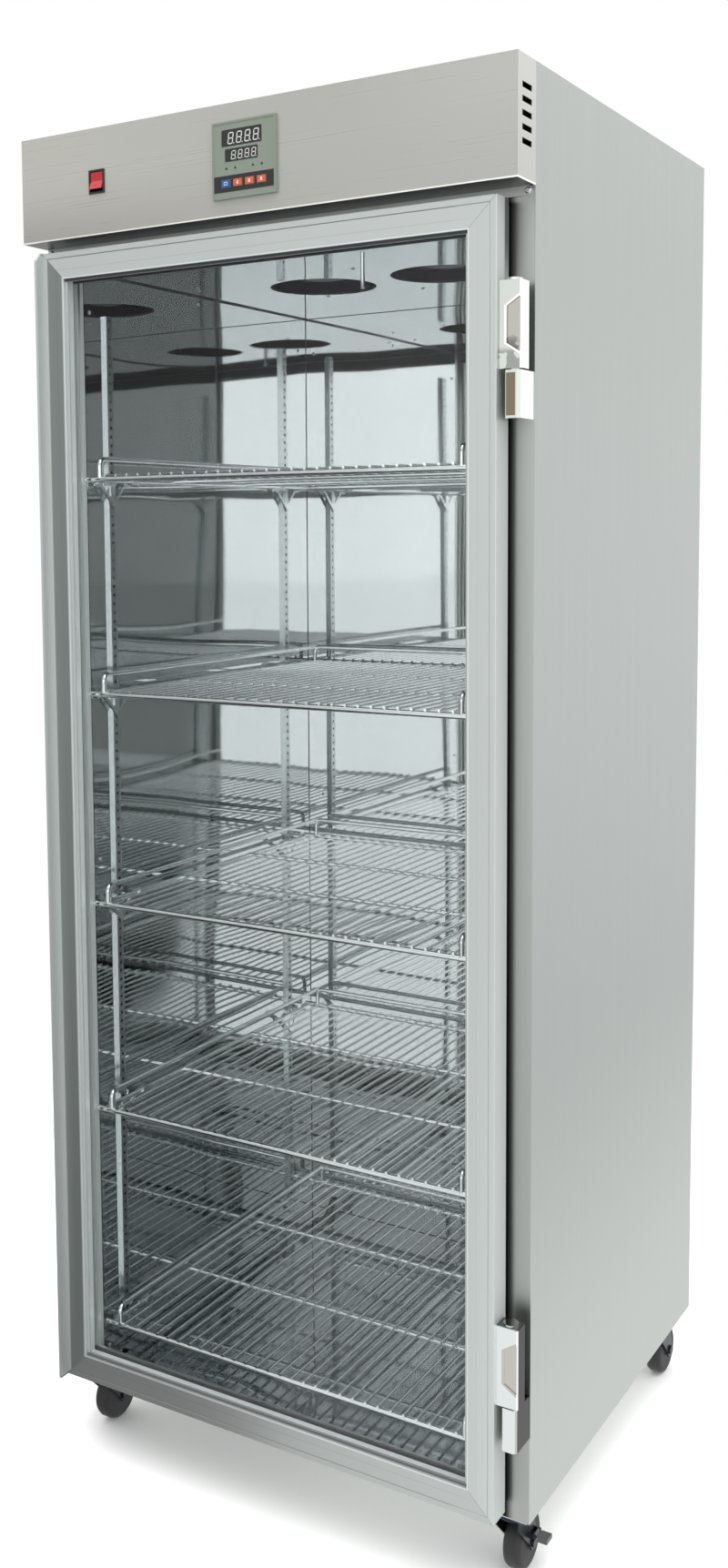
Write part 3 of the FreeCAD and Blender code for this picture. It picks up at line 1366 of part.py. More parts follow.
def make_castors():
    """Four swivelling castors; the front pair has side brake pedals."""
    swivel_x = f"({RIGHT} - castor_side)"
    front_y = f"({BODY_FRONT} + castor_front)"
    rear_step = f"({BACK} - castor_back - {front_y})"
    axle_drop = f"({FORK_TOP} - wheel_radius)"
    plate = centred_box(
        "CastorPlate",
        swivel_x,
        front_y,
        f"{BASE} - plate_gauge / 2",
        "plate_size",
        "plate_size",
        "plate_gauge",
    )
    race = rod("CastorRace", swivel_x, front_y, RACE_BASE, "race_radius", "race_height")
    kingpin_length = f"{RACE_BASE} - {NUT_BASE}"
    kingpin = rod("CastorKingpin", swivel_x, front_y, NUT_BASE, "kingpin_radius", kingpin_length)
    nut = rod("CastorNut", swivel_x, front_y, NUT_BASE, "kingpin_nut", "kingpin_nut_gauge")
    mounting = fuse("CastorMounting", plate, race, kingpin, nut)
    part("castor_plates", four_places("CastorMountings", mounting, rear_step))

    fork = body("Fork")
    cheek = [
        ("-cheek_top", "0"),
        ("cheek_top", "0"),
        ("castor_trail + cheek_foot", f"cheek_foot - {axle_drop}"),
        ("castor_trail + cheek_foot", f"-{axle_drop}"),
        ("castor_trail + cheek_foot / 2", f"-{axle_drop} - cheek_foot"),
        ("castor_trail - cheek_foot / 2", f"-{axle_drop} - cheek_foot"),
        ("castor_trail - cheek_foot", f"-{axle_drop}"),
        ("-cheek_top", "-cheek_skirt"),
    ]
    cheeks = sketch(fork, "YZ_Plane", "ForkSide", cheek)
    feature(fork, "Pad", "ForkBlock", cheeks, Length=FORK_WIDTH, Midplane=True)
    yoke = circle_sketch(fork, "XY_Plane", "YokePlan", "0", "0", "yoke_radius")
    feature(fork, "Pad", "Yoke", yoke, Length="fork_gauge", Reversed=True)
    far = "3 * yoke_radius"
    space = sketch(fork, "YZ_Plane", "ForkSpace", rectangle(f"-{far}", f"-{far}", far, "-fork_gauge"))
    feature(fork, "Pocket", "ForkInside", space, Length=f"{FORK_WIDTH} - 2 * fork_gauge", Midplane=True)
    hole = circle_sketch(fork, "XY_Plane", "KingpinHole", "0", "0", "kingpin_radius + kingpin_clear")
    feature(fork, "Pocket", "KingpinBore", hole, Length="4 * fork_gauge", Midplane=True)
    place(fork, swivel_x, front_y, FORK_TOP)
    axle_y = f"({front_y} + castor_trail)"
    axle_length = f"({FORK_WIDTH} + 2 * axle_head_gauge)"
    axle_x = f"{swivel_x} - {axle_length} / 2"
    axle = [rod("Axle", axle_x, axle_y, "wheel_radius", "axle_radius", axle_length, "+X")]
    for side, x in (("left", axle_x), ("right", f"{swivel_x} + {FORK_WIDTH} / 2")):
        head = rod(f"AxleHead_{side}", x, axle_y, "wheel_radius", "axle_head", "axle_head_gauge", "+X")
        axle.append(head)
    plain_fork = fuse("ForkPlain", fork, *axle)
    lever_x = f"({swivel_x} + {FORK_WIDTH} / 2 + {LEVER_PIVOT})"
    lever_z = "(wheel_radius + lever_rise)"
    half_eye = "(lever_width / 2 + lever_clear)"
    lugs = []
    for side, low_y in (
        ("front", f"{axle_y} - {half_eye} - lever_lug"),
        ("rear", f"{axle_y} + {half_eye}"),
    ):
        lug = box(
            f"Lug_{side}",
            f"{lever_x} - {LEVER_PIVOT}",
            low_y,
            f"{lever_z} - {LEVER_EYE}",
            f"{LEVER_PIVOT} + {LEVER_EYE}",
            "lever_lug",
            f"2 * {LEVER_EYE}",
        )
        lugs.append(lug)
    pin_y = f"{axle_y} - {half_eye}"
    pin = rod("LeverPin", lever_x, pin_y, lever_z, "lever_pin", f"2 * {half_eye}", "+Y")
    braked_fork = fuse("ForkBraked", plain_fork, *lugs, pin)
    part("castor_fork_front_right", braked_fork)
    part("castor_fork_front_left", mirrored("ForkFrontLeft", braked_fork))
    rear_fork = copy_of("ForkRearRight", plain_fork, y=rear_step)
    part("castor_fork_rear_right", rear_fork)
    part("castor_fork_rear_left", mirrored("ForkRearLeft", rear_fork))

    wheel = body("Wheel")
    half = "wheel_width / 2"
    shoulder = "wheel_radius - wheel_round"
    bevel = "wheel_round / 3"
    bore = "axle_radius + axle_clear"
    right_side = [
        (half, bore),
        (half, shoulder),
        (f"{half} - {bevel}", f"wheel_radius - {bevel}"),
        (f"{half} - wheel_round", "wheel_radius"),
    ]
    left_side = [(f"-({across})", radius) for across, radius in reversed(right_side)]
    section = sketch(wheel, "XY_Plane", "WheelSection", right_side + left_side)
    turned = wheel.newObject("PartDesign::Revolution", "WheelTurned")
    turned.Profile = section
    turned.ReferenceAxis = (section, ["H_Axis"])
    turned.Angle = 360
    place(wheel, swivel_x, axle_y, "wheel_radius")
    part("castor_wheel_front_right", wheel)
    part("castor_wheel_front_left", mirrored("WheelFrontLeft", wheel))
    rear_wheel = copy_of("WheelRearRight", wheel, y=rear_step)
    part("castor_wheel_rear_right", rear_wheel)
    part("castor_wheel_rear_left", mirrored("WheelRearLeft", rear_wheel))

    low_y = f"{axle_y} - lever_width / 2"
    eye = rod("LeverEye", lever_x, low_y, lever_z, LEVER_EYE, "lever_width", "+Y")
    arm_z = f"{lever_z} - lever_gauge / 2"
    arm = box("LeverArm", lever_x, low_y, arm_z, "lever_length", "lever_width", "lever_gauge")
    tread = box(
        "LeverTread",
        f"{lever_x} + tread_start",
        f"{axle_y} - tread_width / 2",
        f"{arm_z} - tread_pad",
        "lever_length - tread_start",
        "tread_width",
        "lever_gauge + tread_pad",
    )
    bore_radius = "lever_pin + axle_clear"
    bore_y = f"{axle_y} - lever_width"
    bore = rod("LeverBore", lever_x, bore_y, lever_z, bore_radius, "2 * lever_width", "+Y")
    pedal = cut("Pedal", fuse("PedalBlock", eye, arm, tread), bore)
    part("castor_pedal_right", pedal)
    part("castor_pedal_left", mirrored("PedalLeft", pedal))


def build():
    make_shell()
    make_liner()
    make_insulation()
    make_header()
    make_front_rail()
    make_controller()
    make_switch()
    make_door_frame()
    make_glazing()
    make_pull()
    make_hinges()
    make_strips()
    make_clips()
    make_shelves()
    make_fans()
    make_heaters()
    make_probe()
    make_gland()
    make_screws()
    make_castors()
    doc.recompute()


def check_and_export():
    """Stop on any failed object, then write one STEP file for each sub-part."""
    for item in doc.Objects:
        if "Invalid" in item.State or "Error" in item.State:
            raise RuntimeError(f"{item.Name} did not compute: {item.State}")
    os.makedirs(PARTS_FOLDER, exist_ok=True)
    for item in exported:
        if item.Shape.isNull() or not item.Shape.isValid():
            raise RuntimeError(f"{item.Label} has no valid shape")
        item.Shape.exportStep(f"{PARTS_FOLDER}/{item.Label}.step")


build()
check_and_export()
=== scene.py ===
"""The looks of a blanket warming cabinet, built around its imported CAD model."""

import math

import bmesh
import bpy
from mathutils import Matrix, Vector


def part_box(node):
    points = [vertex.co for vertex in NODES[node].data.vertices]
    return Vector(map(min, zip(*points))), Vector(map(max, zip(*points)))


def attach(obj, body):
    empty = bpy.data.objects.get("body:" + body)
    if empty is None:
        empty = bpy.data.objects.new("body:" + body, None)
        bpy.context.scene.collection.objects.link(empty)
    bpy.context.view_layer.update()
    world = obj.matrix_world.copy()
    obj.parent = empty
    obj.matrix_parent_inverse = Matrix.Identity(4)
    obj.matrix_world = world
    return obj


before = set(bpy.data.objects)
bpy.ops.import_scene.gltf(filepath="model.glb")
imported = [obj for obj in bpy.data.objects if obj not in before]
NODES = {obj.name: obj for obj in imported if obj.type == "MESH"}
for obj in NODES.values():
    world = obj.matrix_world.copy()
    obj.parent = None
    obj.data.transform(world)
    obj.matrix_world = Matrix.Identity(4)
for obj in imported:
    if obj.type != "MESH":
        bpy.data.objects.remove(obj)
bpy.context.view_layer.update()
MM = 0.001

# Places of the CAD model, in metres.
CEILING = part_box("liner_ceiling")[0].z
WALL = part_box("liner_right")[0].x
BACK_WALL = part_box("liner_back")[0].y
CHAMBER_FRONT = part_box("liner_floor")[0].y
FLOOR_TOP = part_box("liner_floor")[1].z
BODY_LOW, BODY_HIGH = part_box("side_panel_left")[0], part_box("side_panel_right")[1]
HEADER_LOW, HEADER_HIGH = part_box("header_fascia")
CASE_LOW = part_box("controller_case")[0]
KEY_LOW, KEY_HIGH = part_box("controller_key_set")
STILE_LOW, STILE_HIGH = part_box("door_stile_left")
LEAF_LOW, LEAF_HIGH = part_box("hinge_leaves")
BRACKET_LOW, BRACKET_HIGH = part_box("hinge_brackets")
STRIP_LOW, STRIP_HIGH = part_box("shelf_strips")
DOOR_SIDE = -STILE_LOW.x

# The two hinges: how far a pin reaches up into its leaf, where the upper leaf starts, how far it is
# above the lower one, the middle of the knuckle's front, and heights between the two hinges.
PIN_REACH, LEAF_HEIGHT = 60 * MM, 102 * MM
UPPER_LEAF = BRACKET_HIGH.z - PIN_REACH
HINGE_SPACING = UPPER_LEAF - LEAF_LOW.z
KNUCKLE_MIDDLE = LEAF_HIGH.x - 13.5 * MM
BETWEEN_HINGES = (0.9, 1.0)

# The door's frame, measured in from its outer edge: its lines, and where the rubber seal starts.
GROOVE, FAINT_GROOVE, BEAD = 8.5 * MM, 24.5 * MM, 36.2 * MM
SEAL_EDGE = (40 * MM, 42 * MM)

# Sheet gauges, and half the width of a shelf strip's channel.
HEADER_GAUGE, STRIP_GAUGE, STRIP_HALF = 0.8 * MM, 1.2 * MM, 7 * MM
STRIP_FACE = STRIP_HIGH.x - 5 * MM


# Materials -------------------------------------------------------------------------------------


class Shader:
    """One material: a Principled shader and the nodes that drive it.

    A value is a (node, output) pair. A mask is a value between 0 and 1.
    """

    def __init__(self, name, **sockets):
        self.material = bpy.data.materials.new(name)
        self.material.use_nodes = True
        self.tree = self.material.node_tree
        self.tree.nodes.clear()
        self.output = self.node("OutputMaterial")
        self.surface = self.node("BsdfPrincipled", **sockets)
        self.link(self.surface, "BSDF", self.output, "Surface")
        self.place = self.node("TexCoord")

    def node(self, kind, props=(), **sockets):
        made = self.tree.nodes.new("ShaderNode" + kind)
        for name, value in dict(props).items():
            setattr(made, name, value)
        for name, value in sockets.items():
            made.inputs[name.replace("_", " ")].default_value = value
        return made

    def link(self, source, out, target, into):
        self.tree.links.new(source.outputs[out], target.inputs[into])

    def noise(self, scale, detail=2.0, rough=0.5):
        """Noise in the object's own coordinates. scale is one number, or one for each axis."""
        mapping = self.node("Mapping")
        mapping.inputs["Scale"].default_value = scale if hasattr(scale, "__len__") else (scale,) * 3
        made = self.node("TexNoise", Scale=1.0, Detail=detail, Roughness=rough)
        self.link(self.place, "Object", mapping, "Vector")
        self.link(mapping, "Vector", made, "Vector")
        return made

    def roughness(self, texture, low, high):
        """The surface's roughness, from low to high over the texture's middle range."""
        made = self.node("MapRange", From_Min=0.3, From_Max=0.7, To_Min=low, To_Max=high)
        self.link(texture, "Fac", made, "Value")
        self.link(made, "Result", self.surface, "Roughness")

    def mix(self, texture, first, second):
        """Two colours mixed by a texture."""
        made = self.node("Mix", {"data_type": "RGBA"})
        made.inputs["A"].default_value = (*first, 1)
        made.inputs["B"].default_value = (*second, 1)
        self.link(texture, "Fac", made, "Factor")
        return made

    def blend(self, factor, first, second):
        """Two shaders, blended by a value."""
        made = self.node("MixShader")
        self.link(*factor, made, "Fac")
        self.link(*first, made, 1)
        self.link(*second, made, 2)
        return (made, "Shader")

    def math(self, operation, first, second=None):
        """A Math node. Each input is a number or a value."""
        made = self.node("Math", {"operation": operation})
        for i, value in enumerate((first, second)):
            if isinstance(value, tuple):
                self.link(*value, made, i)
            elif value is not None:
                made.inputs[i].default_value = value
        return (made, "Value")

    def times(self, first, *others):
        """The product of masks and numbers."""
        for other in others:
            first = self.math("MULTIPLY", first, other)
        return first

    def axes(self):
        """The object's own X, Y and Z."""
        made = self.node("SeparateXYZ")
        self.link(self.place, "Object", made, "Vector")
        return [(made, axis) for axis in "XYZ"]

    def rise(self, value, low, high):
        """0 below low, 1 above high, smooth between them."""
        made = self.node("MapRange", {"interpolation_type": "SMOOTHSTEP"}, From_Min=low, From_Max=high)
        self.link(*value, made, "Value")
        return (made, "Result")

    def fall(self, value, low, high):
        """1 below low, 0 above high, smooth between them."""
        return self.inverse(self.rise(value, low, high))

    def inverse(self, value):
        """One less a mask."""
        return self.math("SUBTRACT", 1.0, value)

    def distance(self, value, middle):
        """How far a value is from a middle, to either side."""
        return self.math("ABSOLUTE", self.math("SUBTRACT", value, middle))

    def tints(self, *layers):
        """Colours laid over the base colour, one after another: (mask, strength, colour)."""
        base = self.surface.inputs["Base Color"]
        for mask, strength, colour in layers:
            made = self.node("Mix", {"data_type": "RGBA"})
            made.inputs["B"].default_value = (*colour, 1)
            self.tree.links.new(base.links[0].from_socket, made.inputs["A"])
            self.link(*self.times(mask, strength), made, "Factor")
            self.tree.links.new(made.outputs["Result"], base)

    def bump(self, texture, distance, strength=1.0, after=None):
        """Relief from a texture, over an earlier relief if there is one."""
        made = self.node("Bump", Strength=strength, Distance=distance)
        self.link(texture, "Fac", made, "Height")
        if after:
            self.link(after, "Normal", made, "Normal")
        self.link(made, "Normal", self.surface, "Normal")
        return made


def shade(colour, factor):
    """A colour made darker or lighter by a factor."""
    return tuple(min(1.0, channel * factor) for channel in colour)


def stretched(along, slow, fine):
    """Noise scales for a grain along one axis."""
    return tuple(slow if axis == along else fine for axis in "XYZ")


def brushed(
    name, colour, along, rough=(0.26, 0.36), grain=0.05, cloud=0.04, metal=1.0, scratch=0.4, extra=None
):
    """Brushed or satin metal, with its grain along one axis and a slow drift in tone."""
    made = Shader(name, Metallic=metal)
    lines = made.noise(stretched(along, 3.0, 900.0), 3.0, 0.6)
    drift = made.noise(2.2, 2.0)
    tone = made.mix(lines, shade(colour, 1 - grain), shade(colour, 1 + grain))
    slow = made.mix(drift, shade((1, 1, 1), 1 - cloud), (1, 1, 1))
    both = made.node("Mix", {"data_type": "RGBA", "blend_type": "MULTIPLY"})
    both.inputs["Factor"].default_value = 1.0
    made.link(tone, "Result", both, "A")
    made.link(slow, "Result", both, "B")
    made.link(both, "Result", made.surface, "Base Color")
    made.roughness(lines, *rough)
    made.bump(lines, 0.03 * MM, scratch)
    if extra:
        extra(made)
    return made.material


def polished(name, colour, wave=4.5 * MM, along="Z"):
    """Mirror-finished sheet: faint grain, slow waves and smears."""
    made = Shader(name, Metallic=1.0)
    lines = made.noise(stretched(along, 2.0, 500.0), 2.0)
    smear = made.noise((3.0, 3.0, 1.4), 4.0, 0.6)
    waves = made.noise((3.0, 3.0, 1.3), 1.0)
    tone = made.mix(smear, shade(colour, 0.95), shade(colour, 1.03))
    made.link(tone, "Result", made.surface, "Base Color")
    made.roughness(smear, 0.015, 0.04)
    made.bump(lines, 0.01 * MM, 0.4, after=made.bump(waves, wave))
    return made.material


def plated(name, colour, rough=(0.28, 0.32), scale=40.0, extra=None):
    """Chrome or bright zinc: cloudy plating over a slightly uneven base."""
    made = Shader(name, Metallic=1.0)
    cloud = made.noise(scale, 4.0, 0.6)
    tone = made.mix(cloud, shade(colour, 0.9), shade(colour, 1.06))
    made.link(tone, "Result", made.surface, "Base Color")
    made.roughness(cloud, *rough)
    made.bump(made.noise(scale * 6, 2.0), 0.02 * MM, 0.3)
    if extra:
        extra(made)
    return made.material


def moulded(name, colour, rough, grain=1400.0, depth=0.03 * MM, coat=0.0, drift=0.06, extra=None):
    """Moulded plastic or rubber with a fine grain and slight wear in tone."""
    made = Shader(name, Coat_Weight=coat, Coat_Roughness=0.12)
    fine = made.noise(grain, 2.0)
    slow = made.noise(35.0, 3.0)
    tone = made.mix(slow, shade(colour, 1 - drift), shade(colour, 1 + drift))
    made.link(tone, "Result", made.surface, "Base Color")
    made.roughness(slow, *rough)
    made.bump(fine, depth, 0.6)
    if extra:
        extra(made)
    return made.material


def glass(name, index=1.2):
    """A clear pane: it passes light with a faint green tint and mirrors more at a glance."""
    made = Shader(name)
    made.tree.nodes.remove(made.surface)
    clear = made.node("BsdfTransparent")
    smear = made.noise((5.0, 5.0, 2.0), 3.0)
    tint = made.mix(smear, (0.978, 0.984, 0.984), (0.988, 0.992, 0.992))
    made.link(tint, "Result", clear, "Color")
    mirror = made.node("BsdfGlossy", Roughness=0.02)
    # A ray that leaves the pane sees the inverse index, so it's turned back for the same mirror share.
    leaving = made.times((made.node("NewGeometry"), "Backfacing"), index - 1 / index)
    facing = made.node("Fresnel")
    made.link(*made.math("SUBTRACT", index, leaving), facing, "IOR")
    surface = made.blend((facing, "Fac"), (clear, "BSDF"), (mirror, "BSDF"))
    made.link(*surface, made.output, "Surface")
    return made.material


def glowing(name, colour, strength):
    """Lit plastic: its own colour and a little light, uneven as a lamp behind it is."""
    made = Shader(name, Roughness=0.35, Emission_Strength=strength)
    cloud = made.noise(260.0, 2.0)
    tone = made.mix(cloud, shade(colour, 0.86), shade(colour, 1.08))
    made.link(tone, "Result", made.surface, "Base Color")
    made.link(tone, "Result", made.surface, "Emission Color")
    return made.material


# Painted light and shade that change over a part: painted shade, highlights and reflections at its edges,
# hollows and surroundings, with a few stains and dark joints.


def header_painted_light(made):
    """Painted shade low at the left, inside, and under it over the door; painted light at the upper right and
    on the lip; a painted reflection warmer at the left.
    """
    x, y, z = made.axes()
    wide = made.math("ABSOLUTE", x)
    low, high, side = HEADER_LOW.z, HEADER_HIGH.z, HEADER_HIGH.x
    thin, thick = HEADER_GAUGE - 0.1 * MM, HEADER_GAUGE + 0.1 * MM
    left = made.fall(x, -0.42, 0.30)
    right = made.times(made.rise(x, 0.05, 0.36), made.rise(z, low, high))
    inside = made.times(
        made.rise(y, HEADER_LOW.y + thin, HEADER_LOW.y + thick),
        made.fall(wide, side - thick, side - thin),
        made.fall(z, high - thin, high - 0.5 * MM),
    )
    under = made.fall(wide, DOOR_SIDE - 9 * MM, DOOR_SIDE + 12 * MM)
    under = made.times(made.fall(z, low + 0.2 * MM, low + 0.3 * MM), under)
    made.tints(
        # painted reflection, warmer towards the left
        (left, 0.5, (0.60, 0.592, 0.54)),  # warmer towards the left
        # painted shade low at the left
        (made.times(left, made.fall(z, low - 0.02, low + 0.09)), 0.55, (0.25, 0.222, 0.21)),  # dusky
        # painted light at the upper right
        (right, 0.3, (0.55, 0.55, 0.52)),  # lighter at the upper right
        # painted highlight on the lip
        (made.fall(z, low + 1.5 * MM, low + 2.5 * MM), 0.8, (0.95, 0.95, 0.92)),  # lip
        # painted shade inside the header and under it over the door
        (made.math("MAXIMUM", inside, under), 1.0, (0.012, 0.010, 0.009)),  # unlit
    )


def jamb_stains_and_painted_shade(made):
    """The jamb has painted shade beside and behind the door, and is a little stained."""
    x, _, _ = made.axes()
    stain_and_dark_reflection = made.noise((30.0, 30.0, 9.0), 4.0, 0.65)
    beside = made.fall(made.math("ABSOLUTE", x), DOOR_SIDE - 5 * MM, DOOR_SIDE + 8 * MM)
    made.tints(
        (made.rise((stain_and_dark_reflection, "Fac"), 0.6, 0.75), 0.35, (0.42, 0.38, 0.37)),
        # painted shade beside and behind the door
        (beside, 1.0, (0.02, 0.016, 0.018)),
    )


def plenum_painted_shade(made):
    """Painted shade: what lies above the ceiling sheet is painted dark."""
    _, _, z = made.axes()
    made.tints((made.rise(z, CEILING - 20 * MM, CEILING - 5 * MM), 1.0, (0.01, 0.01, 0.01)))


def frame_lines_and_painted_light(made):
    """Painted shade in fine grooves, dark mitre joints and a painted highlight on the bead. Painted shade on
    the left stile and low at the left.
    """
    x, y, z = made.axes()
    # Distances in from the frame's sides, its foot, the nearer end, the nearest edge and its front.
    across = made.math("SUBTRACT", DOOR_SIDE, made.math("ABSOLUTE", x))
    low = made.math("SUBTRACT", z, STILE_LOW.z)
    up = made.math("MINIMUM", made.math("SUBTRACT", STILE_HIGH.z, z), low)
    near = made.math("MINIMUM", across, up)
    deep = made.math("SUBTRACT", y, STILE_LOW.y)

    front = made.fall(deep, 1.5 * MM, 2 * MM)
    upright = made.rise(made.math("SUBTRACT", up, across), -0.3 * MM, 0.3 * MM)
    latch = made.fall(x, STILE_HIGH.x + 7 * MM, STILE_HIGH.x + 17 * MM)
    lowered = made.fall(z, 0.12, 1.5)
    band = made.rise(across, GROOVE, GROOVE + 1.5 * MM)
    band = made.times(band, made.fall(across, 33 * MM, 35 * MM), upright, latch, front)
    rail = made.fall(made.math("SUBTRACT", low, across), -0.4 * MM, 0.4 * MM)
    foot = made.times(rail, made.fall(low, *SEAL_EDGE), made.fall(x, -0.5, 0.46))
    shadow = made.times(made.fall(x, -0.36, -0.28), upright, lowered, 0.22)

    def line(value, at, half):
        return made.fall(made.distance(value, at), half * 0.4, half)

    grooves = made.times(line(near, FAINT_GROOVE, 0.8 * MM), 0.35)
    grooves = made.math("MAXIMUM", line(near, GROOVE, 0.9 * MM), grooves)
    hinged = made.rise(x, -STILE_HIGH.x - 27 * MM, -STILE_HIGH.x - 7 * MM)
    grooves = made.times(grooves, made.inverse(made.times(hinged, 0.65)))
    mitre = line(made.math("SUBTRACT", across, up), 0.0, 0.7 * MM)
    lines = made.times(made.math("MAXIMUM", grooves, mitre), front)
    behind = made.times(made.rise(deep, 22.5 * MM, 23.5 * MM), made.rise(z, 1.6, 1.7))
    made.tints(
        # painted shade in the left stile's hollow
        (band, 0.8, (0.12, 0.14, 0.136)),  # the left stile's hollow
        # painted shade low at the left and along the bottom rail
        (made.math("MAXIMUM", shadow, foot), 0.78, (0.135, 0.13, 0.135)),  # dusk at the foot
        # painted light on the right stile
        (made.times(made.rise(x, 0.28, 0.36), upright, lowered), 0.5, (0.62, 0.665, 0.65)),  # right
        # painted shade in the grooves, and the dark mitre joints
        (lines, 0.5, (0.10, 0.105, 0.105)),
        # painted highlight on the bead
        (made.times(line(near, BEAD, 1.2 * MM), front), 0.8, (0.70, 0.75, 0.73)),  # bead
        # painted highlight on the reveal of the left stile
        (made.times(made.rise(deep, 7.5 * MM, 8.5 * MM), latch), 0.9, (0.92, 0.97, 0.95)),  # reveal
        # painted shade on the back of the top rail
        (behind, 0.9, (0.035, 0.033, 0.035)),  # the dark back of the top rail
    )


def seal_painted_reflections(made):
    """Painted reflections on the seal: as light as the frame at the sides, duller below the pane, and dark
    above it.
    """
    _, _, z = made.axes()
    near, far = SEAL_EDGE
    foot = made.rise(z, STILE_LOW.z + near, STILE_LOW.z + far)
    head = made.fall(z, STILE_HIGH.z - far, STILE_HIGH.z - near)
    made.tints(
        # painted reflection: the sides as light as the frame
        (made.times(foot, head), 1.0, (0.36, 0.39, 0.385)),
        # painted reflection below the pane
        (made.inverse(foot), 0.5, (0.20, 0.20, 0.21)),
    )


def panel_painted_light_and_shade(made):
    """Painted shade and light on the right side sheet, darker from the middle up and lighter at the foot, so
    that it keeps one tone from top to bottom under the light from above.
    """
    x, _, z = made.axes()
    right = made.rise(x, BODY_HIGH.x - 2 * MM, BODY_HIGH.x - 1.5 * MM)
    middle = made.times(made.rise(z, 0.15, 0.75), made.fall(z, 1.3, 2.1))
    made.tints(
        (made.times(right, middle), 0.9, (0.40, 0.43, 0.418)),
        (made.times(right, made.rise(z, 1.1, 1.8)), 0.75, (0.33, 0.354, 0.342)),
        (made.times(right, made.fall(z, 0.1, 0.7)), 0.2, (0.78, 0.826, 0.79)),
    )


def strip_painted_shade(made):
    """Painted shade inside a strip's channel, so that its slots read as dark spots."""
    x, y, _ = made.axes()
    inner = STRIP_GAUGE * 0.8
    behind = made.rise(made.math("ABSOLUTE", x), STRIP_FACE + inner, STRIP_FACE + STRIP_GAUGE)
    for middle in (STRIP_LOW.y + STRIP_HALF, STRIP_HIGH.y - STRIP_HALF):
        channel = made.fall(made.distance(y, middle), STRIP_HALF - STRIP_GAUGE, STRIP_HALF - inner)
        # painted shade inside the channel
        made.tints((made.times(behind, channel), 1.0, (0.02, 0.022, 0.024)))


def hinge_painted_reflections(made):
    """Painted highlights: bright bevels round a recess made duller by painted reflections. The lower hinge
    has a painted dark reflection at its right side.
    """
    x, y, z = made.axes()
    upper = made.rise(z, *BETWEEN_HINGES)
    lower = made.inverse(upper)
    # The height over the foot of a leaf, the same for both hinges.
    level = made.math("SUBTRACT", z, LEAF_LOW.z)
    level = made.math("SUBTRACT", level, made.times(upper, HINGE_SPACING))
    front = made.fall(y, LEAF_LOW.y + 1.8 * MM, LEAF_LOW.y + 2.2 * MM)
    back = made.inverse(front)
    leaf = made.rise(level, -0.8 * MM, -0.4 * MM)

    def inside(value, middle, half):
        return made.fall(made.distance(value, middle), half - 0.3 * MM, half)

    # The recess widens towards the right: its half height grows by taper over its width.
    recess_left, recess_right, half, taper = LEAF_HIGH.x - 20 * MM, LEAF_HIGH.x - 2 * MM, 33.5 * MM, 12 * MM
    slope = taper / (recess_right - recess_left)
    reach = made.math("SUBTRACT", half, made.times(made.math("SUBTRACT", recess_right, x), slope))
    depth = made.math("SUBTRACT", reach, made.distance(level, LEAF_HEIGHT / 2))
    depth = made.math("MINIMUM", depth, made.math("SUBTRACT", x, recess_left))
    recess = made.times(made.rise(depth, 0.4 * MM, 0.8 * MM), front)
    rim = made.times(inside(depth, -0.4 * MM, 1.3 * MM), front, leaf)

    blotch = (made.noise((60.0, 60.0, 45.0), 3.0), "Fac")
    stain_and_dark_reflection = made.times(made.rise(blotch, 0.42, 0.5), made.fall(level, 28 * MM, 44 * MM))
    pool = made.times(made.rise(blotch, 0.47, 0.5), made.fall(level, 18 * MM, 26 * MM))
    pool = made.times(front, leaf, made.inverse(recess), pool)
    bevel = made.rise(x, LEAF_HIGH.x - 2.2 * MM, LEAF_HIGH.x - 1.8 * MM)
    side = made.times(made.rise(x, LEAF_HIGH.x - 2.2 * MM, LEAF_HIGH.x - 1.9 * MM), back)
    top = made.times(
        made.rise(level, LEAF_HEIGHT - 0.4 * MM, LEAF_HEIGHT - 0.2 * MM),
        made.fall(level, LEAF_HEIGHT + 0.1 * MM, LEAF_HEIGHT + 0.3 * MM),
        back,
    )
    panel = made.times(inside(x, KNUCKLE_MIDDLE, 6 * MM), inside(level, -29.5 * MM, 25 * MM), front)
    made.tints(
        # painted reflection that makes the lower hinge's front pale
        (made.times(front, lower), 0.7, (0.86, 0.92, 0.92)),  # the lower hinge's pale front
        # painted reflection that makes the recess duller
        (recess, 0.8, (0.36, 0.345, 0.30)),
        (made.times(recess, lower), 0.7, (0.60, 0.58, 0.54)),
        # painted reflection of a dark room in the upper recess, and below it
        (made.times(recess, stain_and_dark_reflection, upper), 0.8, (0.10, 0.10, 0.095)),  # dark room in the recess
        (made.times(pool, upper), 0.7, (0.16, 0.17, 0.16)),  # and below it
        # painted highlight on the upper rim; a duller painted reflection on the lower rim
        (made.times(rim, upper), 1.0, (1.0, 1.0, 1.0)),
        (made.times(rim, lower), 0.5, (0.30, 0.30, 0.28)),
        # painted highlight on the bevel
        (made.times(bevel, front, leaf), 1.0, (1.0, 1.0, 1.0)),
        # painted reflections on the sides: light on the upper hinge, dark on the lower
        (made.times(side, upper), 1.0, (0.80, 0.83, 0.81)),
        (made.times(side, lower), 1.0, (0.012, 0.012, 0.014)),
        # painted shade on the top of each leaf
        (top, 0.9, (0.10, 0.11, 0.12)),
        # painted reflection: a brownish panel in the upper knuckle
        (made.times(panel, upper), 1.0, (0.17, 0.145, 0.095)),  # a brownish panel in the knuckle
    )


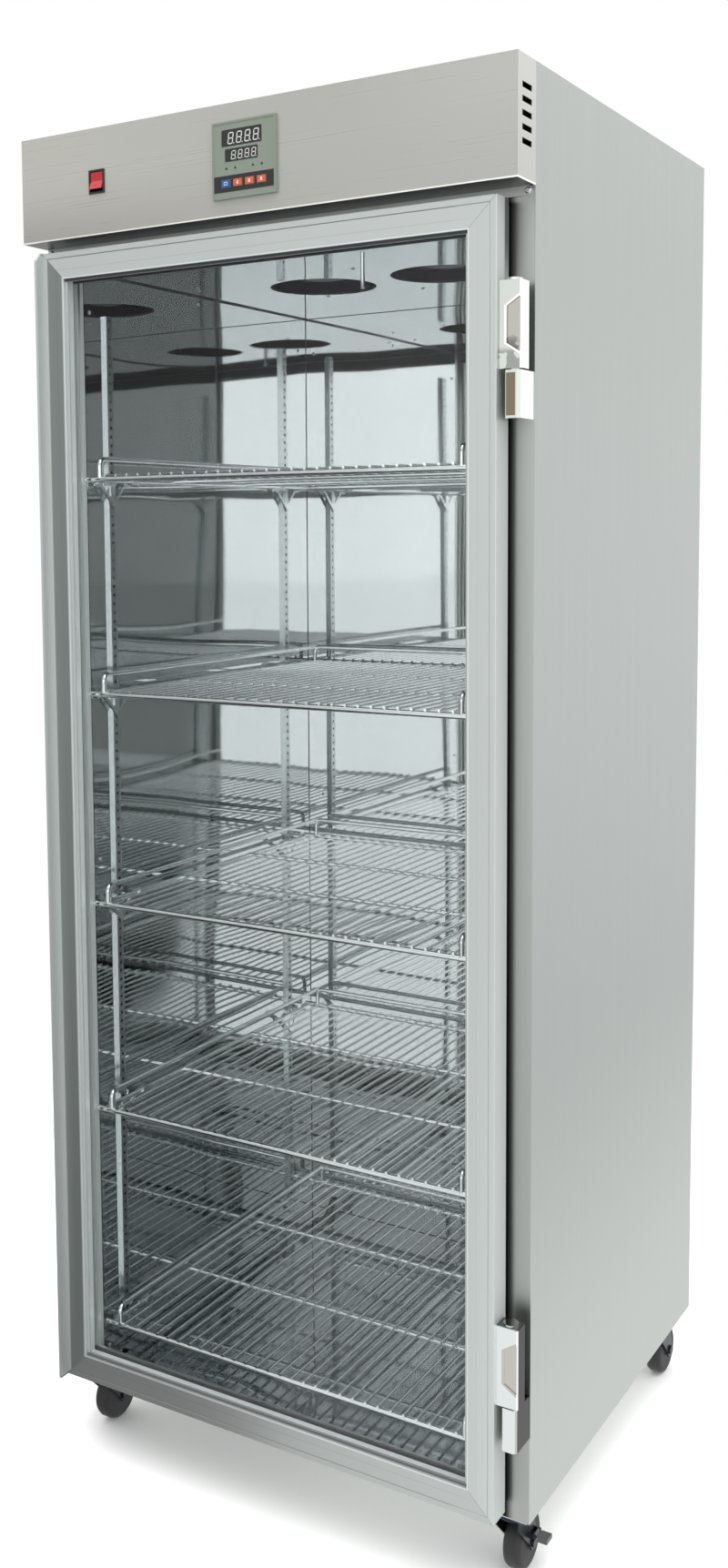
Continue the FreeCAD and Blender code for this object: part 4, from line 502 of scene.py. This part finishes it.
OUTER = brushed("outer_steel", (0.50, 0.526, 0.507), "Z", (0.36, 0.46), 0.045, 0.02, extra=panel_painted_light_and_shade)
FLAT = brushed("flat_steel", (0.50, 0.525, 0.507), "X", (0.36, 0.46), 0.03, 0.03)
JAMB = brushed("jamb_steel", (0.42, 0.432, 0.42), "Z", (0.3, 0.42), 0.03, 0.1, extra=jamb_stains_and_painted_shade)
HEADER = brushed(
    "header_steel", (0.395, 0.40, 0.376), "X", (0.27, 0.33), 0.006, 0.02, 0.5, scratch=0.1, extra=header_painted_light
)
LINER = polished("liner_steel", (0.62, 0.638, 0.64))
LINER_FLAT = polished("liner_flat", (0.50, 0.52, 0.532), wave=3 * MM, along="X")
FRAME, FRAME_ACROSS = (
    brushed(name, (0.47, 0.502, 0.488), along, (0.36, 0.44), 0.012, 0.02, 0.45, extra=frame_lines_and_painted_light)
    for name, along in (("frame_aluminium", "Z"), ("frame_aluminium_rails", "X"))
)
SPACER = brushed("spacer_aluminium", (0.80, 0.84, 0.83), "Z", (0.3, 0.4), 0.03, metal=0.3)
TRIM = brushed("trim_steel", (0.95, 0.97, 0.97), "Z", (0.25, 0.35), 0.02, metal=0.4)
CHROME = plated("wire_chrome", (0.74, 0.765, 0.77), (0.06, 0.10))
ZINC = plated("zinc_steel", (0.55, 0.57, 0.585), (0.28, 0.38), 120.0)
STRIP = plated("strip_steel", (0.50, 0.53, 0.535), (0.16, 0.22), 60.0, strip_painted_shade)
CLIP = plated("clip_steel", (0.66, 0.685, 0.69), (0.14, 0.2), 60.0)
HINGE = plated("hinge_chrome", (0.54, 0.565, 0.53), (0.14, 0.2), 9.0, hinge_painted_reflections)
FORK = plated("fork_steel", (0.045, 0.047, 0.055), (0.25, 0.35), 60.0)
PEDAL = plated("pedal_steel", (0.12, 0.125, 0.13), (0.2, 0.3), 60.0)
BEARING = plated("castor_zinc", (0.42, 0.50, 0.56), (0.2, 0.3), 60.0)
HEATER = plated("heater_steel", (0.36, 0.33, 0.30), (0.3, 0.45), 30.0)
PANE = glass("pane_glass")
SEAL = moulded("seal_rubber", (0.030, 0.030, 0.034), (0.45, 0.6), extra=seal_painted_reflections)
GASKET = moulded("gasket_rubber", (0.12, 0.118, 0.12), (0.5, 0.65))
JOINT = moulded("joint_sealant", (0.03, 0.033, 0.035), (0.3, 0.45))
SAGE = moulded("controller_plastic", (0.19, 0.222, 0.18), (0.38, 0.5), drift=0.03)
BLACK = moulded("black_plastic", (0.012, 0.012, 0.013), (0.25, 0.4))
WINDOW = moulded("window_plastic", (0.004, 0.004, 0.005), (0.05, 0.1), depth=0.005 * MM, coat=0.6)
BLUE = moulded("key_blue", (0.01, 0.09, 0.30), (0.35, 0.45))
ORANGE = moulded("key_orange", (0.50, 0.095, 0.04), (0.35, 0.45))
PALE = moulded("legend_ink", (0.72, 0.72, 0.70), (0.5, 0.6))
DIGIT = glowing("digit_segments", (0.56, 0.57, 0.54), 0.1)
LAMP = moulded("led_off", (0.01, 0.015, 0.012), (0.1, 0.2), coat=0.5)
RED = moulded("rocker_red", (0.40, 0.005, 0.010), (0.12, 0.22), depth=0.006 * MM, coat=0.7)
WOOL = moulded("mineral_wool", (0.55, 0.48, 0.24), (0.9, 1.0), 300.0, 1.5 * MM, extra=plenum_painted_shade)
MOTOR = moulded("motor_paint", (0.018, 0.018, 0.02), (0.4, 0.55), 300.0, 0.1 * MM)
ROTOR = moulded("rotor_plastic", (0.022, 0.023, 0.025), (0.35, 0.5))
GLAND = moulded("gland_plastic", (0.02, 0.02, 0.02), (0.35, 0.5))
TYRE = moulded("castor_tyre", (0.016, 0.016, 0.017), (0.5, 0.65), 500.0, 0.08 * MM, drift=0.2)

LOOKS = {
    OUTER: "side_panel_left side_panel_right back_panel control_bulkhead",
    JAMB: "front_jambs",
    FLAT: "top_panel base_panel fascia_rail",
    HEADER: "header_fascia",
    LINER: "liner_left liner_right liner_back",
    LINER_FLAT: "liner_floor liner_ceiling",
    WOOL: "insulation_slabs",
    ZINC: "rail_screws",
    BEARING: "castor_plates",
    FORK: "castor_fork_front_right castor_fork_front_left castor_fork_rear_right castor_fork_rear_left",
    PEDAL: "castor_pedal_left castor_pedal_right",
    SAGE: "controller_case",
    BLUE: "controller_key_set",
    ORANGE: "controller_key_shift controller_key_down controller_key_up",
    BLACK: "switch_housing",
    RED: "switch_rocker",
    ROTOR: "fan_rotor_left fan_rotor_right",
    MOTOR: "fan_mounts",
    HEATER: "heater_elements",
    CHROME: "temperature_probe shelf_1 shelf_2 shelf_3 shelf_4 shelf_5",
    GLAND: "cable_gland",
    FRAME: "door_stile_left door_stile_right door_pull",
    FRAME_ACROSS: "door_rail_top door_rail_bottom",
    PANE: "glass_outer glass_inner",
    SPACER: "glass_spacer",
    SEAL: "glazing_seals",
    GASKET: "door_gasket",
    HINGE: "hinge_leaves hinge_brackets",
    STRIP: "shelf_strips",
    CLIP: "shelf_clips",
    TYRE: "castor_wheel_front_right castor_wheel_front_left castor_wheel_rear_right castor_wheel_rear_left",
}
for material, names in LOOKS.items():
    for name in names.split():
        NODES[name].data.materials.clear()
        NODES[name].data.materials.append(material)


# Shapes ----------------------------------------------------------------------------------------


def piece(name, mesh, material, body, smooth=False):
    """A finished mesh as an object that rides on a body."""
    bmesh.ops.recalc_face_normals(mesh, faces=mesh.faces)
    data = bpy.data.meshes.new(name)
    mesh.to_mesh(data)
    mesh.free()
    for face in data.polygons:
        face.use_smooth = smooth
    data.materials.append(material)
    made = bpy.data.objects.new(name, data)
    bpy.context.scene.collection.objects.link(made)
    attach(made, body)


def skin(mesh, rings, capped=True):
    """Faces between each ring of points and the next. A ring may be a single point."""
    count = max(len(ring) for ring in rings)
    for low, high in zip(rings, rings[1:]):
        for i in range(count):
            j = (i + 1) % count
            if len(high) == 1:
                mesh.faces.new((low[i], low[j], high[0]))
            elif len(low) == 1:
                mesh.faces.new((low[0], high[j], high[i]))
            else:
                mesh.faces.new((low[i], low[j], high[j], high[i]))
    for ring in (rings[0], rings[-1]):
        if capped and len(ring) > 1:
            mesh.faces.new(ring)


def circle(radius, height, steps):
    """Points on a circle round the Z axis. A circle with no radius is one point."""
    turns = [math.tau * i / steps for i in range(steps if radius else 1)]
    return [Vector((radius * math.cos(turn), radius * math.sin(turn), height)) for turn in turns]


def rounded(x0, x1, z0, z1, radius, steps=4):
    """Outline of a rectangle with round corners, in millimetres."""
    points = []
    for cx, cz, start in (
        (x1 - radius, z1 - radius, 0),
        (x0 + radius, z1 - radius, 90),
        (x0 + radius, z0 + radius, 180),
        (x1 - radius, z0 + radius, 270),
    ):
        for step in range(steps + 1):
            angle = math.radians(start + 90 * step / steps)
            points.append((cx + radius * math.cos(angle), cz + radius * math.sin(angle)))
    return points


def plate(mesh, outline, back, front, edge=0.0):
    """A plate that faces -Y: its outline in X and Z, with an edge that slopes in by edge."""
    centre_x = sum(x for x, _ in outline) / len(outline)
    centre_z = sum(z for _, z in outline) / len(outline)
    reach = max(abs(x - centre_x) for x, _ in outline)
    levels = [(back, 1.0), (front, 1 - edge / reach)]
    if edge:
        levels.insert(1, (front + edge * 0.6, 1.0))
    rings = []
    for y, size in levels:
        points = [(centre_x + (x - centre_x) * size, y, centre_z + (z - centre_z) * size) for x, z in outline]
        rings.append([mesh.verts.new(Vector(point) * MM) for point in points])
    skin(mesh, rings)


def plates(name, outlines, back, front, material, body, edge=0.0):
    """One piece of plates: their outlines in X and Z, in millimetres, and their back and front."""
    mesh = bmesh.new()
    for outline in outlines:
        plate(mesh, outline, back, front, edge)
    piece(name, mesh, material, body)


def lathe(mesh, profile, centre, axis, steps):
    """A turned shape: (radius, height) pairs in millimetres from its foot to its tip, along an axis."""
    turn = Vector((0, 0, 1)).rotation_difference(Vector(axis)).to_matrix()
    rings = [
        [mesh.verts.new(Vector(centre) + turn @ point) for point in circle(radius * MM, height * MM, steps)]
        for radius, height in profile
    ]
    skin(mesh, rings)


def bars(name, boxes, material, body, edge=0.0):
    """Thin straight bars with eased edges: (low corner, high corner) pairs, in millimetres."""
    mesh = bmesh.new()
    for low, high in boxes:
        made = bmesh.ops.create_cube(mesh, size=1.0)["verts"]
        size = [(b - a) * MM for a, b in zip(low, high)]
        middle = [(a + b) * MM / 2 for a, b in zip(low, high)]
        bmesh.ops.scale(mesh, vec=size, verts=made)
        bmesh.ops.translate(mesh, vec=middle, verts=made)
    if edge:
        bmesh.ops.bevel(mesh, geom=mesh.edges[:], offset=edge * MM, segments=2, affect="EDGES")
    piece(name, mesh, material, body)


# Controller front, in millimetres --------------------------------------------------------------

FACE = CASE_LOW.y / MM + 0.6  # the recessed face
FOOT = CASE_LOW.z / MM
KEY_FACE = KEY_LOW.y / MM
KEY_LEVEL = (KEY_LOW.z + KEY_HIGH.z) / 2 / MM
KEY_GAP = 0.8
WINDOWS = ((-33.3, 27.5, 64.9, 85.6), (-28.2, 21.5, 45.7, 61.6))  # sides, then foot and head over FOOT
FIGURES = (  # first place, height over FOOT, spacing, width, height, bar
    (-24.2, 67.3, 12.8, 8.2, 14.6, 1.3),
    (-19.0, 47.8, 10.2, 6.6, 11.0, 1.0),
)
SET_KEY, SHIFT_KEY, DOWN_KEY, UP_KEY = KEY_PLACES = (-27, -9, 9, 27)
CHEVRON = [(-1.7, 0), (0.9, 2.4), (1.7, 1.6), (0.1, 0), (1.7, -1.6), (0.9, -2.4)]
LED = [(1.7, 0), (1.6, 0.25), (1.0, 0.5), (0, 0.6)]
LED_PLACES, LED_LEVEL = (-26.4, -12.8, 14.1, 27.5), FOOT + 37.5


def segments(x, z, width, height, bar):
    """The outlines of a seven-segment figure eight with its point, from its lower left corner."""
    gap, tip, lean = bar * 0.18, bar / 2, 0.12

    def along(x0, x1, at):
        return [
            (x0 + gap, at), (x0 + gap + tip, at + tip), (x1 - gap - tip, at + tip),
            (x1 - gap, at), (x1 - gap - tip, at - tip), (x0 + gap + tip, at - tip),
        ]

    def up(at, z0, z1):
        return [
            (at, z0 + gap), (at + tip, z0 + gap + tip), (at + tip, z1 - gap - tip),
            (at, z1 - gap), (at - tip, z1 - gap - tip), (at - tip, z0 + gap + tip),
        ]

    left, right = tip, width - tip
    low, middle, high = tip, height / 2, height - tip
    shapes = [along(left, right, at) for at in (low, middle, high)]
    shapes += [up(at, *ends) for ends in ((low, middle), (middle, high)) for at in (left, right)]
    shapes.append(rounded(width + bar * 0.7, width + bar * 1.7, 0, bar, bar * 0.45, 3))
    return [[(x + px + pz * lean, z + pz) for px, pz in shape] for shape in shapes]


def turned(points, angle, x, z, scale=1.0):
    """Points turned and scaled round their own origin, and put at x, z."""
    c, s = math.cos(math.radians(angle)) * scale, math.sin(math.radians(angle)) * scale
    return [(x + px * c - pz * s, z + px * s + pz * c) for px, pz in points]


def controller():
    """The two windows with their figures, four small lamps, the keys' dark band and their symbols."""
    windows = [rounded(left, right, FOOT + low, FOOT + high, 1.5) for left, right, low, high in WINDOWS]
    glazing = FACE - 0.4
    plates("controller_windows", windows, FACE, glazing, WINDOW, "cabinet", 0.25)
    digits = []
    for i in range(4):
        for start, height, spacing, *size in FIGURES:
            digits += segments(start + spacing * i, FOOT + height, *size)
    plates("controller_digits", digits, glazing, glazing - 0.08, DIGIT, "cabinet")
    lamps = bmesh.new()
    for x in LED_PLACES:
        lathe(lamps, LED, Vector((x, FACE, LED_LEVEL)) * MM, (0, -1, 0), 14)
    piece("controller_lamps", lamps, LAMP, "cabinet", True)

    # The band is two long bars with short ones between the keys.
    key_half = (KEY_HIGH.x - KEY_LOW.x) / 2 / MM + KEY_GAP
    band_end, foot, low, high, top = 45.2, FOOT + 8.2, FOOT + 13.7, FOOT + 23.7, FOOT + 28.7
    bands = [rounded(-band_end, band_end, *ends, 0.8) for ends in ((high, top), (foot, low))]
    edges = [-band_end, *[x + side * key_half for x in KEY_PLACES for side in (-1, 1)], band_end]
    bands += [rounded(x0, x1, low, high, 0.01, 1) for x0, x1 in zip(edges[0::2], edges[1::2])]
    plates("controller_band", bands, FACE, FACE - 0.3, BLACK, "cabinet")

    left, right, arm, bar = SET_KEY - 2.6, SET_KEY + 2.6, 1.5, 0.6
    icons = {
        "shift": [turned(CHEVRON, 0, SHIFT_KEY, KEY_LEVEL)],
        "down": [turned(CHEVRON, 90, DOWN_KEY, KEY_LEVEL + up, 0.8) for up in (1.0, -1.2)],
        "up": [turned(CHEVRON, -90, UP_KEY, KEY_LEVEL + up, 0.8) for up in (1.2, -1.0)],
        "set": [
            rounded(left, right, KEY_LEVEL + arm, KEY_LEVEL + arm + bar, 0.2, 2),
            rounded(left, right, KEY_LEVEL - arm - bar, KEY_LEVEL - arm, 0.2, 2),
            rounded(left, left + bar, KEY_LEVEL - arm, KEY_LEVEL + arm, 0.2, 2),
            turned(CHEVRON, 180, right - bar, KEY_LEVEL, 0.5),
        ],
    }
    for key, outlines in icons.items():
        plates(f"key_icon_{key}", outlines, KEY_FACE, KEY_FACE - 0.1, PALE, f"key_{key}")


# Rivets, joints, trim and hinge blocks, in millimetres -----------------------------------------

RIVET = [(3.1, 0), (3.1, 0.35), (2.7, 0.9), (1.9, 1.3), (1.0, 1.4), (0.9, 0.7), (0, 0.7)]
CEILING_RIVETS = ((15.5, -109), (15.5, 107), (-142.5, 92), (-278.5, -66), (278.5, -66))  # x and y
WALL_RIVETS = (  # y and z
    (-291, 1665), (-23, 1708), (273, 1664), (-291, 880), (250, 880), (-291, 140), (250, 140),
)


def rivets(name, places):
    """Blind rivets on one piece: (place, axis) pairs."""
    mesh = bmesh.new()
    for centre, axis in places:
        lathe(mesh, RIVET, Vector(centre) * MM, axis, 16)
    piece(name, mesh, ZINC, "cabinet", True)


def fasteners():
    """The rivets of the chamber's ceiling and walls, and of the back sheet's edges."""
    wall, top = WALL / MM, CEILING / MM
    rivets("ceiling_rivets", [((x, y, top), (0, 0, -1)) for x, y in CEILING_RIVETS])
    rivets("wall_rivets", [((side * wall, y, z), (-side, 0, 0)) for side in (-1, 1) for y, z in WALL_RIVETS])
    rear, side_inset, end_inset, rows = BODY_HIGH.y / MM, 20.5, 12, 8
    side = BODY_HIGH.x / MM - side_inset
    low, high = BODY_LOW.z / MM + end_inset, BODY_HIGH.z / MM - end_inset
    places = [(x, low + (high - low) * i / rows) for x in (-side, side) for i in range(rows + 1)]
    places += [(x, z) for x in (-side / 2, 0, side / 2) for z in (low, high)]
    rivets("back_rivets", [((x, rear, z), (0, 1, 0)) for x, z in places])


def chamber_joints():
    """The dark joint lines between the liner sheets, and the steel trim round the opening."""
    wall, back, top, floor = WALL / MM, BACK_WALL / MM, CEILING / MM, FLOOR_TOP / MM
    front, thin, thick = CHAMBER_FRONT / MM, 0.7, 2.2
    lines = []
    for side in (-1, 1):
        x0, x1 = sorted((side * wall, side * (wall - thin)))
        lines += [
            ((x0, back - thin, floor), (x1, back, top)),
            ((x0, front, top - thick), (x1, back, top)),
            ((x0, front, floor), (x1, back, floor + thin)),
        ]
    lines += [((-wall, back - thin, z), (wall, back, z + thin)) for z in (top - thin, floor)]
    bars("liner_joints", lines, JOINT, "cabinet")
    lip, start, end = 0.9, front - 11.2, front - 0.05
    trims = [
        ((-wall - lip, start, floor - lip), (-wall, end, top + lip)),
        ((wall, start, floor - lip), (wall + lip, end, top + lip)),
        ((-wall - lip, start, top), (wall + lip, end, top + lip)),
        ((-wall - lip, start, floor - lip), (wall + lip, end, floor)),
    ]
    bars("opening_trim", trims, TRIM, "cabinet", 0.25)


def hinge_blocks():
    """The square-shouldered knuckle of each hinge, over its pin."""
    front, back = LEAF_LOW.y / MM, BODY_LOW.y / MM - 0.2
    left, right = LEAF_HIGH.x / MM - 21.5, BODY_HIGH.x / MM - 0.8
    outline = [
        (left, back), (left, front + 1.5), (left + 1.5, front),
        (right - 4.2, front), (right, front + 4.5), (right, back),
    ]
    mesh = bmesh.new()
    for leaf in (LEAF_LOW.z, UPPER_LEAF):
        ends = (leaf - LEAF_LOW.z + BRACKET_LOW.z, leaf - 1.5 * MM)
        skin(mesh, [[mesh.verts.new((x * MM, y * MM, z)) for x, y in outline] for z in ends])
    piece("hinge_blocks", mesh, HINGE, "cabinet")


controller()
fasteners()
chamber_joints()
hinge_blocks()


# Studio ----------------------------------------------------------------------------------------

# The room as the chamber's mirrors show it is brighter than it is outside them, from the second
# bounce on: less light is lost at each bounce than the liner's own colour says.
DEEP_RAY, DEEP_GAIN = 1.5, 0.72

# Brightness by direction, in degrees from the front and positive to the right, at three heights.
LOW_LIGHT = [
    (-180, 0.75), (-110, 0.95), (-75, 0.55), (-52, 0.32), (-36, 0.34), (-27, 0.78),
    (-10, 1.05), (20, 1.24), (45, 1.12), (95, 0.8), (180, 0.75),
]
MIDDLE_LIGHT = [
    (-180, 0.8), (-110, 0.95), (-70, 0.55), (-50, 0.40), (-36, 0.40), (-27, 0.46),
    (0, 0.5), (40, 0.55), (70, 0.8), (95, 0.85), (180, 0.8),
]
HIGH_LIGHT = [(-180, 1.0), (0, 1.25), (180, 1.0)]
LOW_TO_MIDDLE, MIDDLE_TO_HIGH = (0.14, 0.32), (0.60, 0.84)

# The floor in those mirrors: it's dark between two directions from the door's middle, in degrees,
# and darkest where it's near. Each pair of numbers is where a change starts and where it ends.
DOOR_PLANE = -0.33
FAR_LEFT, FRONT_RIGHT, NEAR_FLOOR = (-78, -56), (-35, -27), (1.2, 7.0)
FLOOR_GAIN, FAR_LEFT_SHARE, NEAR_LOSS, FAR_DARK = 1.13, 0.6, 0.12, 0.28


def floor_material():
    """A pale floor that fades to white. In the cabinet's mirrors it is dark at the front left."""
    made = Shader("studio_floor", Roughness=0.8)
    x, y, _ = made.axes()
    drift = made.noise(1.5, 2.0)
    pale = made.mix(drift, (0.90, 0.90, 0.895), (0.915, 0.915, 0.91))
    made.link(pale, "Result", made.surface, "Base Color")
    reach = made.math("SQRT", made.math("ADD", made.times(x, x), made.times(y, y)))
    white = made.node("Emission", Strength=1.0)
    seen = made.blend(made.rise(reach, 0.7, 2.6), (made.surface, "BSDF"), (white, "Emission"))

    turn = made.math("ARCTAN2", x, made.math("SUBTRACT", DOOR_PLANE, y))
    lit = made.rise(turn, *map(math.radians, FRONT_RIGHT))
    far_left = made.fall(turn, *map(math.radians, FAR_LEFT))
    lit = made.math("MAXIMUM", lit, made.times(far_left, FAR_LEFT_SHARE))
    near = made.fall(reach, *NEAR_FLOOR)
    bright = made.inverse(made.times(near, NEAR_LOSS))
    dark = made.times(made.inverse(near), FAR_DARK)
    level = made.math("ADD", made.times(made.math("SUBTRACT", bright, dark), lit), dark)
    path, mirrored = made.node("LightPath"), made.node("Emission")
    deep = made.times(made.math("GREATER_THAN", (path, "Ray Depth"), DEEP_RAY), DEEP_GAIN)
    made.link(*made.times(level, made.math("ADD", deep, FLOOR_GAIN)), mirrored, "Strength")
    shown = made.blend((path, "Is Camera Ray"), (mirrored, "Emission"), seen)
    made.link(*shown, made.output, "Surface")
    return made.material


def studio_floor():
    """A round floor, from its rim to its centre."""
    mesh = bmesh.new()
    radii, steps = (40.0, 15.0, 6.0, 2.0, 0.0), 64
    rings = [[mesh.verts.new(point) for point in circle(radius, 0, steps)] for radius in radii]
    skin(mesh, rings, capped=False)
    data = bpy.data.meshes.new("studio_floor")
    mesh.to_mesh(data)
    mesh.free()
    data.materials.append(floor_material())
    made = bpy.data.objects.new("studio_floor", data)
    bpy.context.scene.collection.objects.link(made)


def studio_world():
    """Soft light all round: bright at the front right, darker at the front left below eye level."""
    world = bpy.data.worlds.new("studio")
    bpy.context.scene.world = world
    world.use_nodes = True
    tree = world.node_tree
    tree.nodes.clear()
    link = tree.links.new

    def node(kind, props=(), **inputs):
        made = tree.nodes.new("ShaderNode" + kind)
        for name, value in dict(props).items():
            setattr(made, name, value)
        for name, value in inputs.items():
            made.inputs[name.replace("_", " ")].default_value = value
        return made

    def calculate(operation, first, second, third=None):
        made = node("Math", {"operation": operation})
        for i, value in enumerate((first, second, third)):
            if isinstance(value, (int, float)):
                made.inputs[i].default_value = value
            elif value is not None:
                link(value, made.inputs[i])
        return made.outputs[0]

    parts = node("SeparateXYZ")
    link(node("TexCoord").outputs["Generated"], parts.inputs[0])
    turn = calculate("ARCTAN2", parts.outputs["X"], calculate("MULTIPLY", parts.outputs["Y"], -1))
    share = node("MapRange", From_Min=-math.pi, From_Max=math.pi)
    link(turn, share.inputs["Value"])

    def round_ramp(stops):
        """Brightness by direction. The first and the last stop are both straight behind."""
        made = node("ValToRGB")
        line = made.color_ramp.elements
        for element, (_, value) in zip((line[0], line[1]), (stops[0], stops[-1])):
            element.color = (value, value, value, 1)
        for angle, value in stops[1:-1]:
            line.new((angle + 180) / 360).color = (value, value, value, 1)
        link(share.outputs[0], made.inputs["Fac"])
        return made.outputs["Color"]

    def over(lower, upper, start, end):
        """One brightness above another, blended between two heights of the direction."""
        lift = node("MapRange", {"interpolation_type": "SMOOTHSTEP"}, From_Min=start, From_Max=end)
        mix = node("Mix", {"data_type": "RGBA"})
        link(parts.outputs["Z"], lift.inputs["Value"])
        link(lift.outputs[0], mix.inputs["Factor"])
        link(lower, mix.inputs["A"])
        link(upper, mix.inputs["B"])
        return mix.outputs["Result"]

    shown = over(round_ramp(LOW_LIGHT), round_ramp(MIDDLE_LIGHT), *LOW_TO_MIDDLE)
    shown = over(shown, round_ramp(HIGH_LIGHT), *MIDDLE_TO_HIGH)
    path, light, choose = node("LightPath"), node("Background"), node("MixShader")
    white = node("Background", Color=(1, 1, 1, 1))
    deep = calculate("GREATER_THAN", path.outputs["Ray Depth"], DEEP_RAY)
    link(calculate("MULTIPLY_ADD", deep, DEEP_GAIN, 1.0), light.inputs["Strength"])
    link(shown, light.inputs["Color"])
    link(path.outputs["Is Camera Ray"], choose.inputs[0])
    link(light.outputs[0], choose.inputs[1])
    link(white.outputs[0], choose.inputs[2])
    link(choose.outputs[0], node("OutputWorld").inputs["Surface"])


def area_light(name, place, target, size, power):
    """A square light at a place, turned towards a target."""
    lamp = bpy.data.lights.new(name, "AREA")
    lamp.shape, lamp.size, lamp.energy = "SQUARE", size, power
    made = bpy.data.objects.new(name, lamp)
    made.location = place
    made.rotation_euler = (Vector(target) - Vector(place)).to_track_quat("-Z", "Y").to_euler()
    bpy.context.scene.collection.objects.link(made)


# The photograph's camera. Its focal length, centre and size are in the photograph's pixels.
FOCAL, CENTRE_X, CENTRE_Y = 1700.0, 317.3, 730.5
PHOTO_WIDTH, PHOTO_HEIGHT = 800, 1723
AZIMUTH, PITCH, ROLL = math.radians(31.98), math.radians(4.89), math.radians(-0.52)
EYE = (1.1048, -2.0329, 1.3522)
SENSOR = 36.0


def camera():
    """The photograph's viewpoint: 32 degrees round to the right, 5 degrees down, at 1.35 m."""
    lens = bpy.data.cameras.new("camera")
    lens.sensor_fit, lens.sensor_width = "AUTO", SENSOR
    lens.lens = FOCAL / PHOTO_HEIGHT * SENSOR
    lens.shift_x = (PHOTO_WIDTH / 2 - CENTRE_X) / PHOTO_HEIGHT
    lens.shift_y = (CENTRE_Y - PHOTO_HEIGHT / 2) / PHOTO_HEIGHT
    lens.clip_start, lens.clip_end = 0.05, 100
    flat = Vector((-math.sin(AZIMUTH), math.cos(AZIMUTH), 0))
    ahead = flat * math.cos(PITCH) + Vector((0, 0, -math.sin(PITCH)))
    level = Vector((math.cos(AZIMUTH), math.sin(AZIMUTH), 0))
    over = level.cross(ahead)
    right = math.cos(ROLL) * level + math.sin(ROLL) * over
    up = math.cos(ROLL) * over - math.sin(ROLL) * level
    made = bpy.data.objects.new("camera", lens)
    turn = Matrix((right, up, -ahead)).transposed().to_4x4()
    made.matrix_world = Matrix.Translation(EYE) @ turn
    bpy.context.scene.collection.objects.link(made)
    bpy.context.scene.camera = made


studio_world()
studio_floor()
area_light("key_light", (2.0, -2.3, 5.0), (0, 0, 1.0), 2.4, 60)
area_light("top_light", (0.2, -0.3, 4.8), (0, 0, 0), 3.4, 90)
camera()
scene = bpy.context.scene
scene.view_settings.view_transform = "Standard"
scene.cycles.transparent_max_bounces = 32
scene.cycles.max_bounces = 16
scene.cycles.glossy_bounces = 10
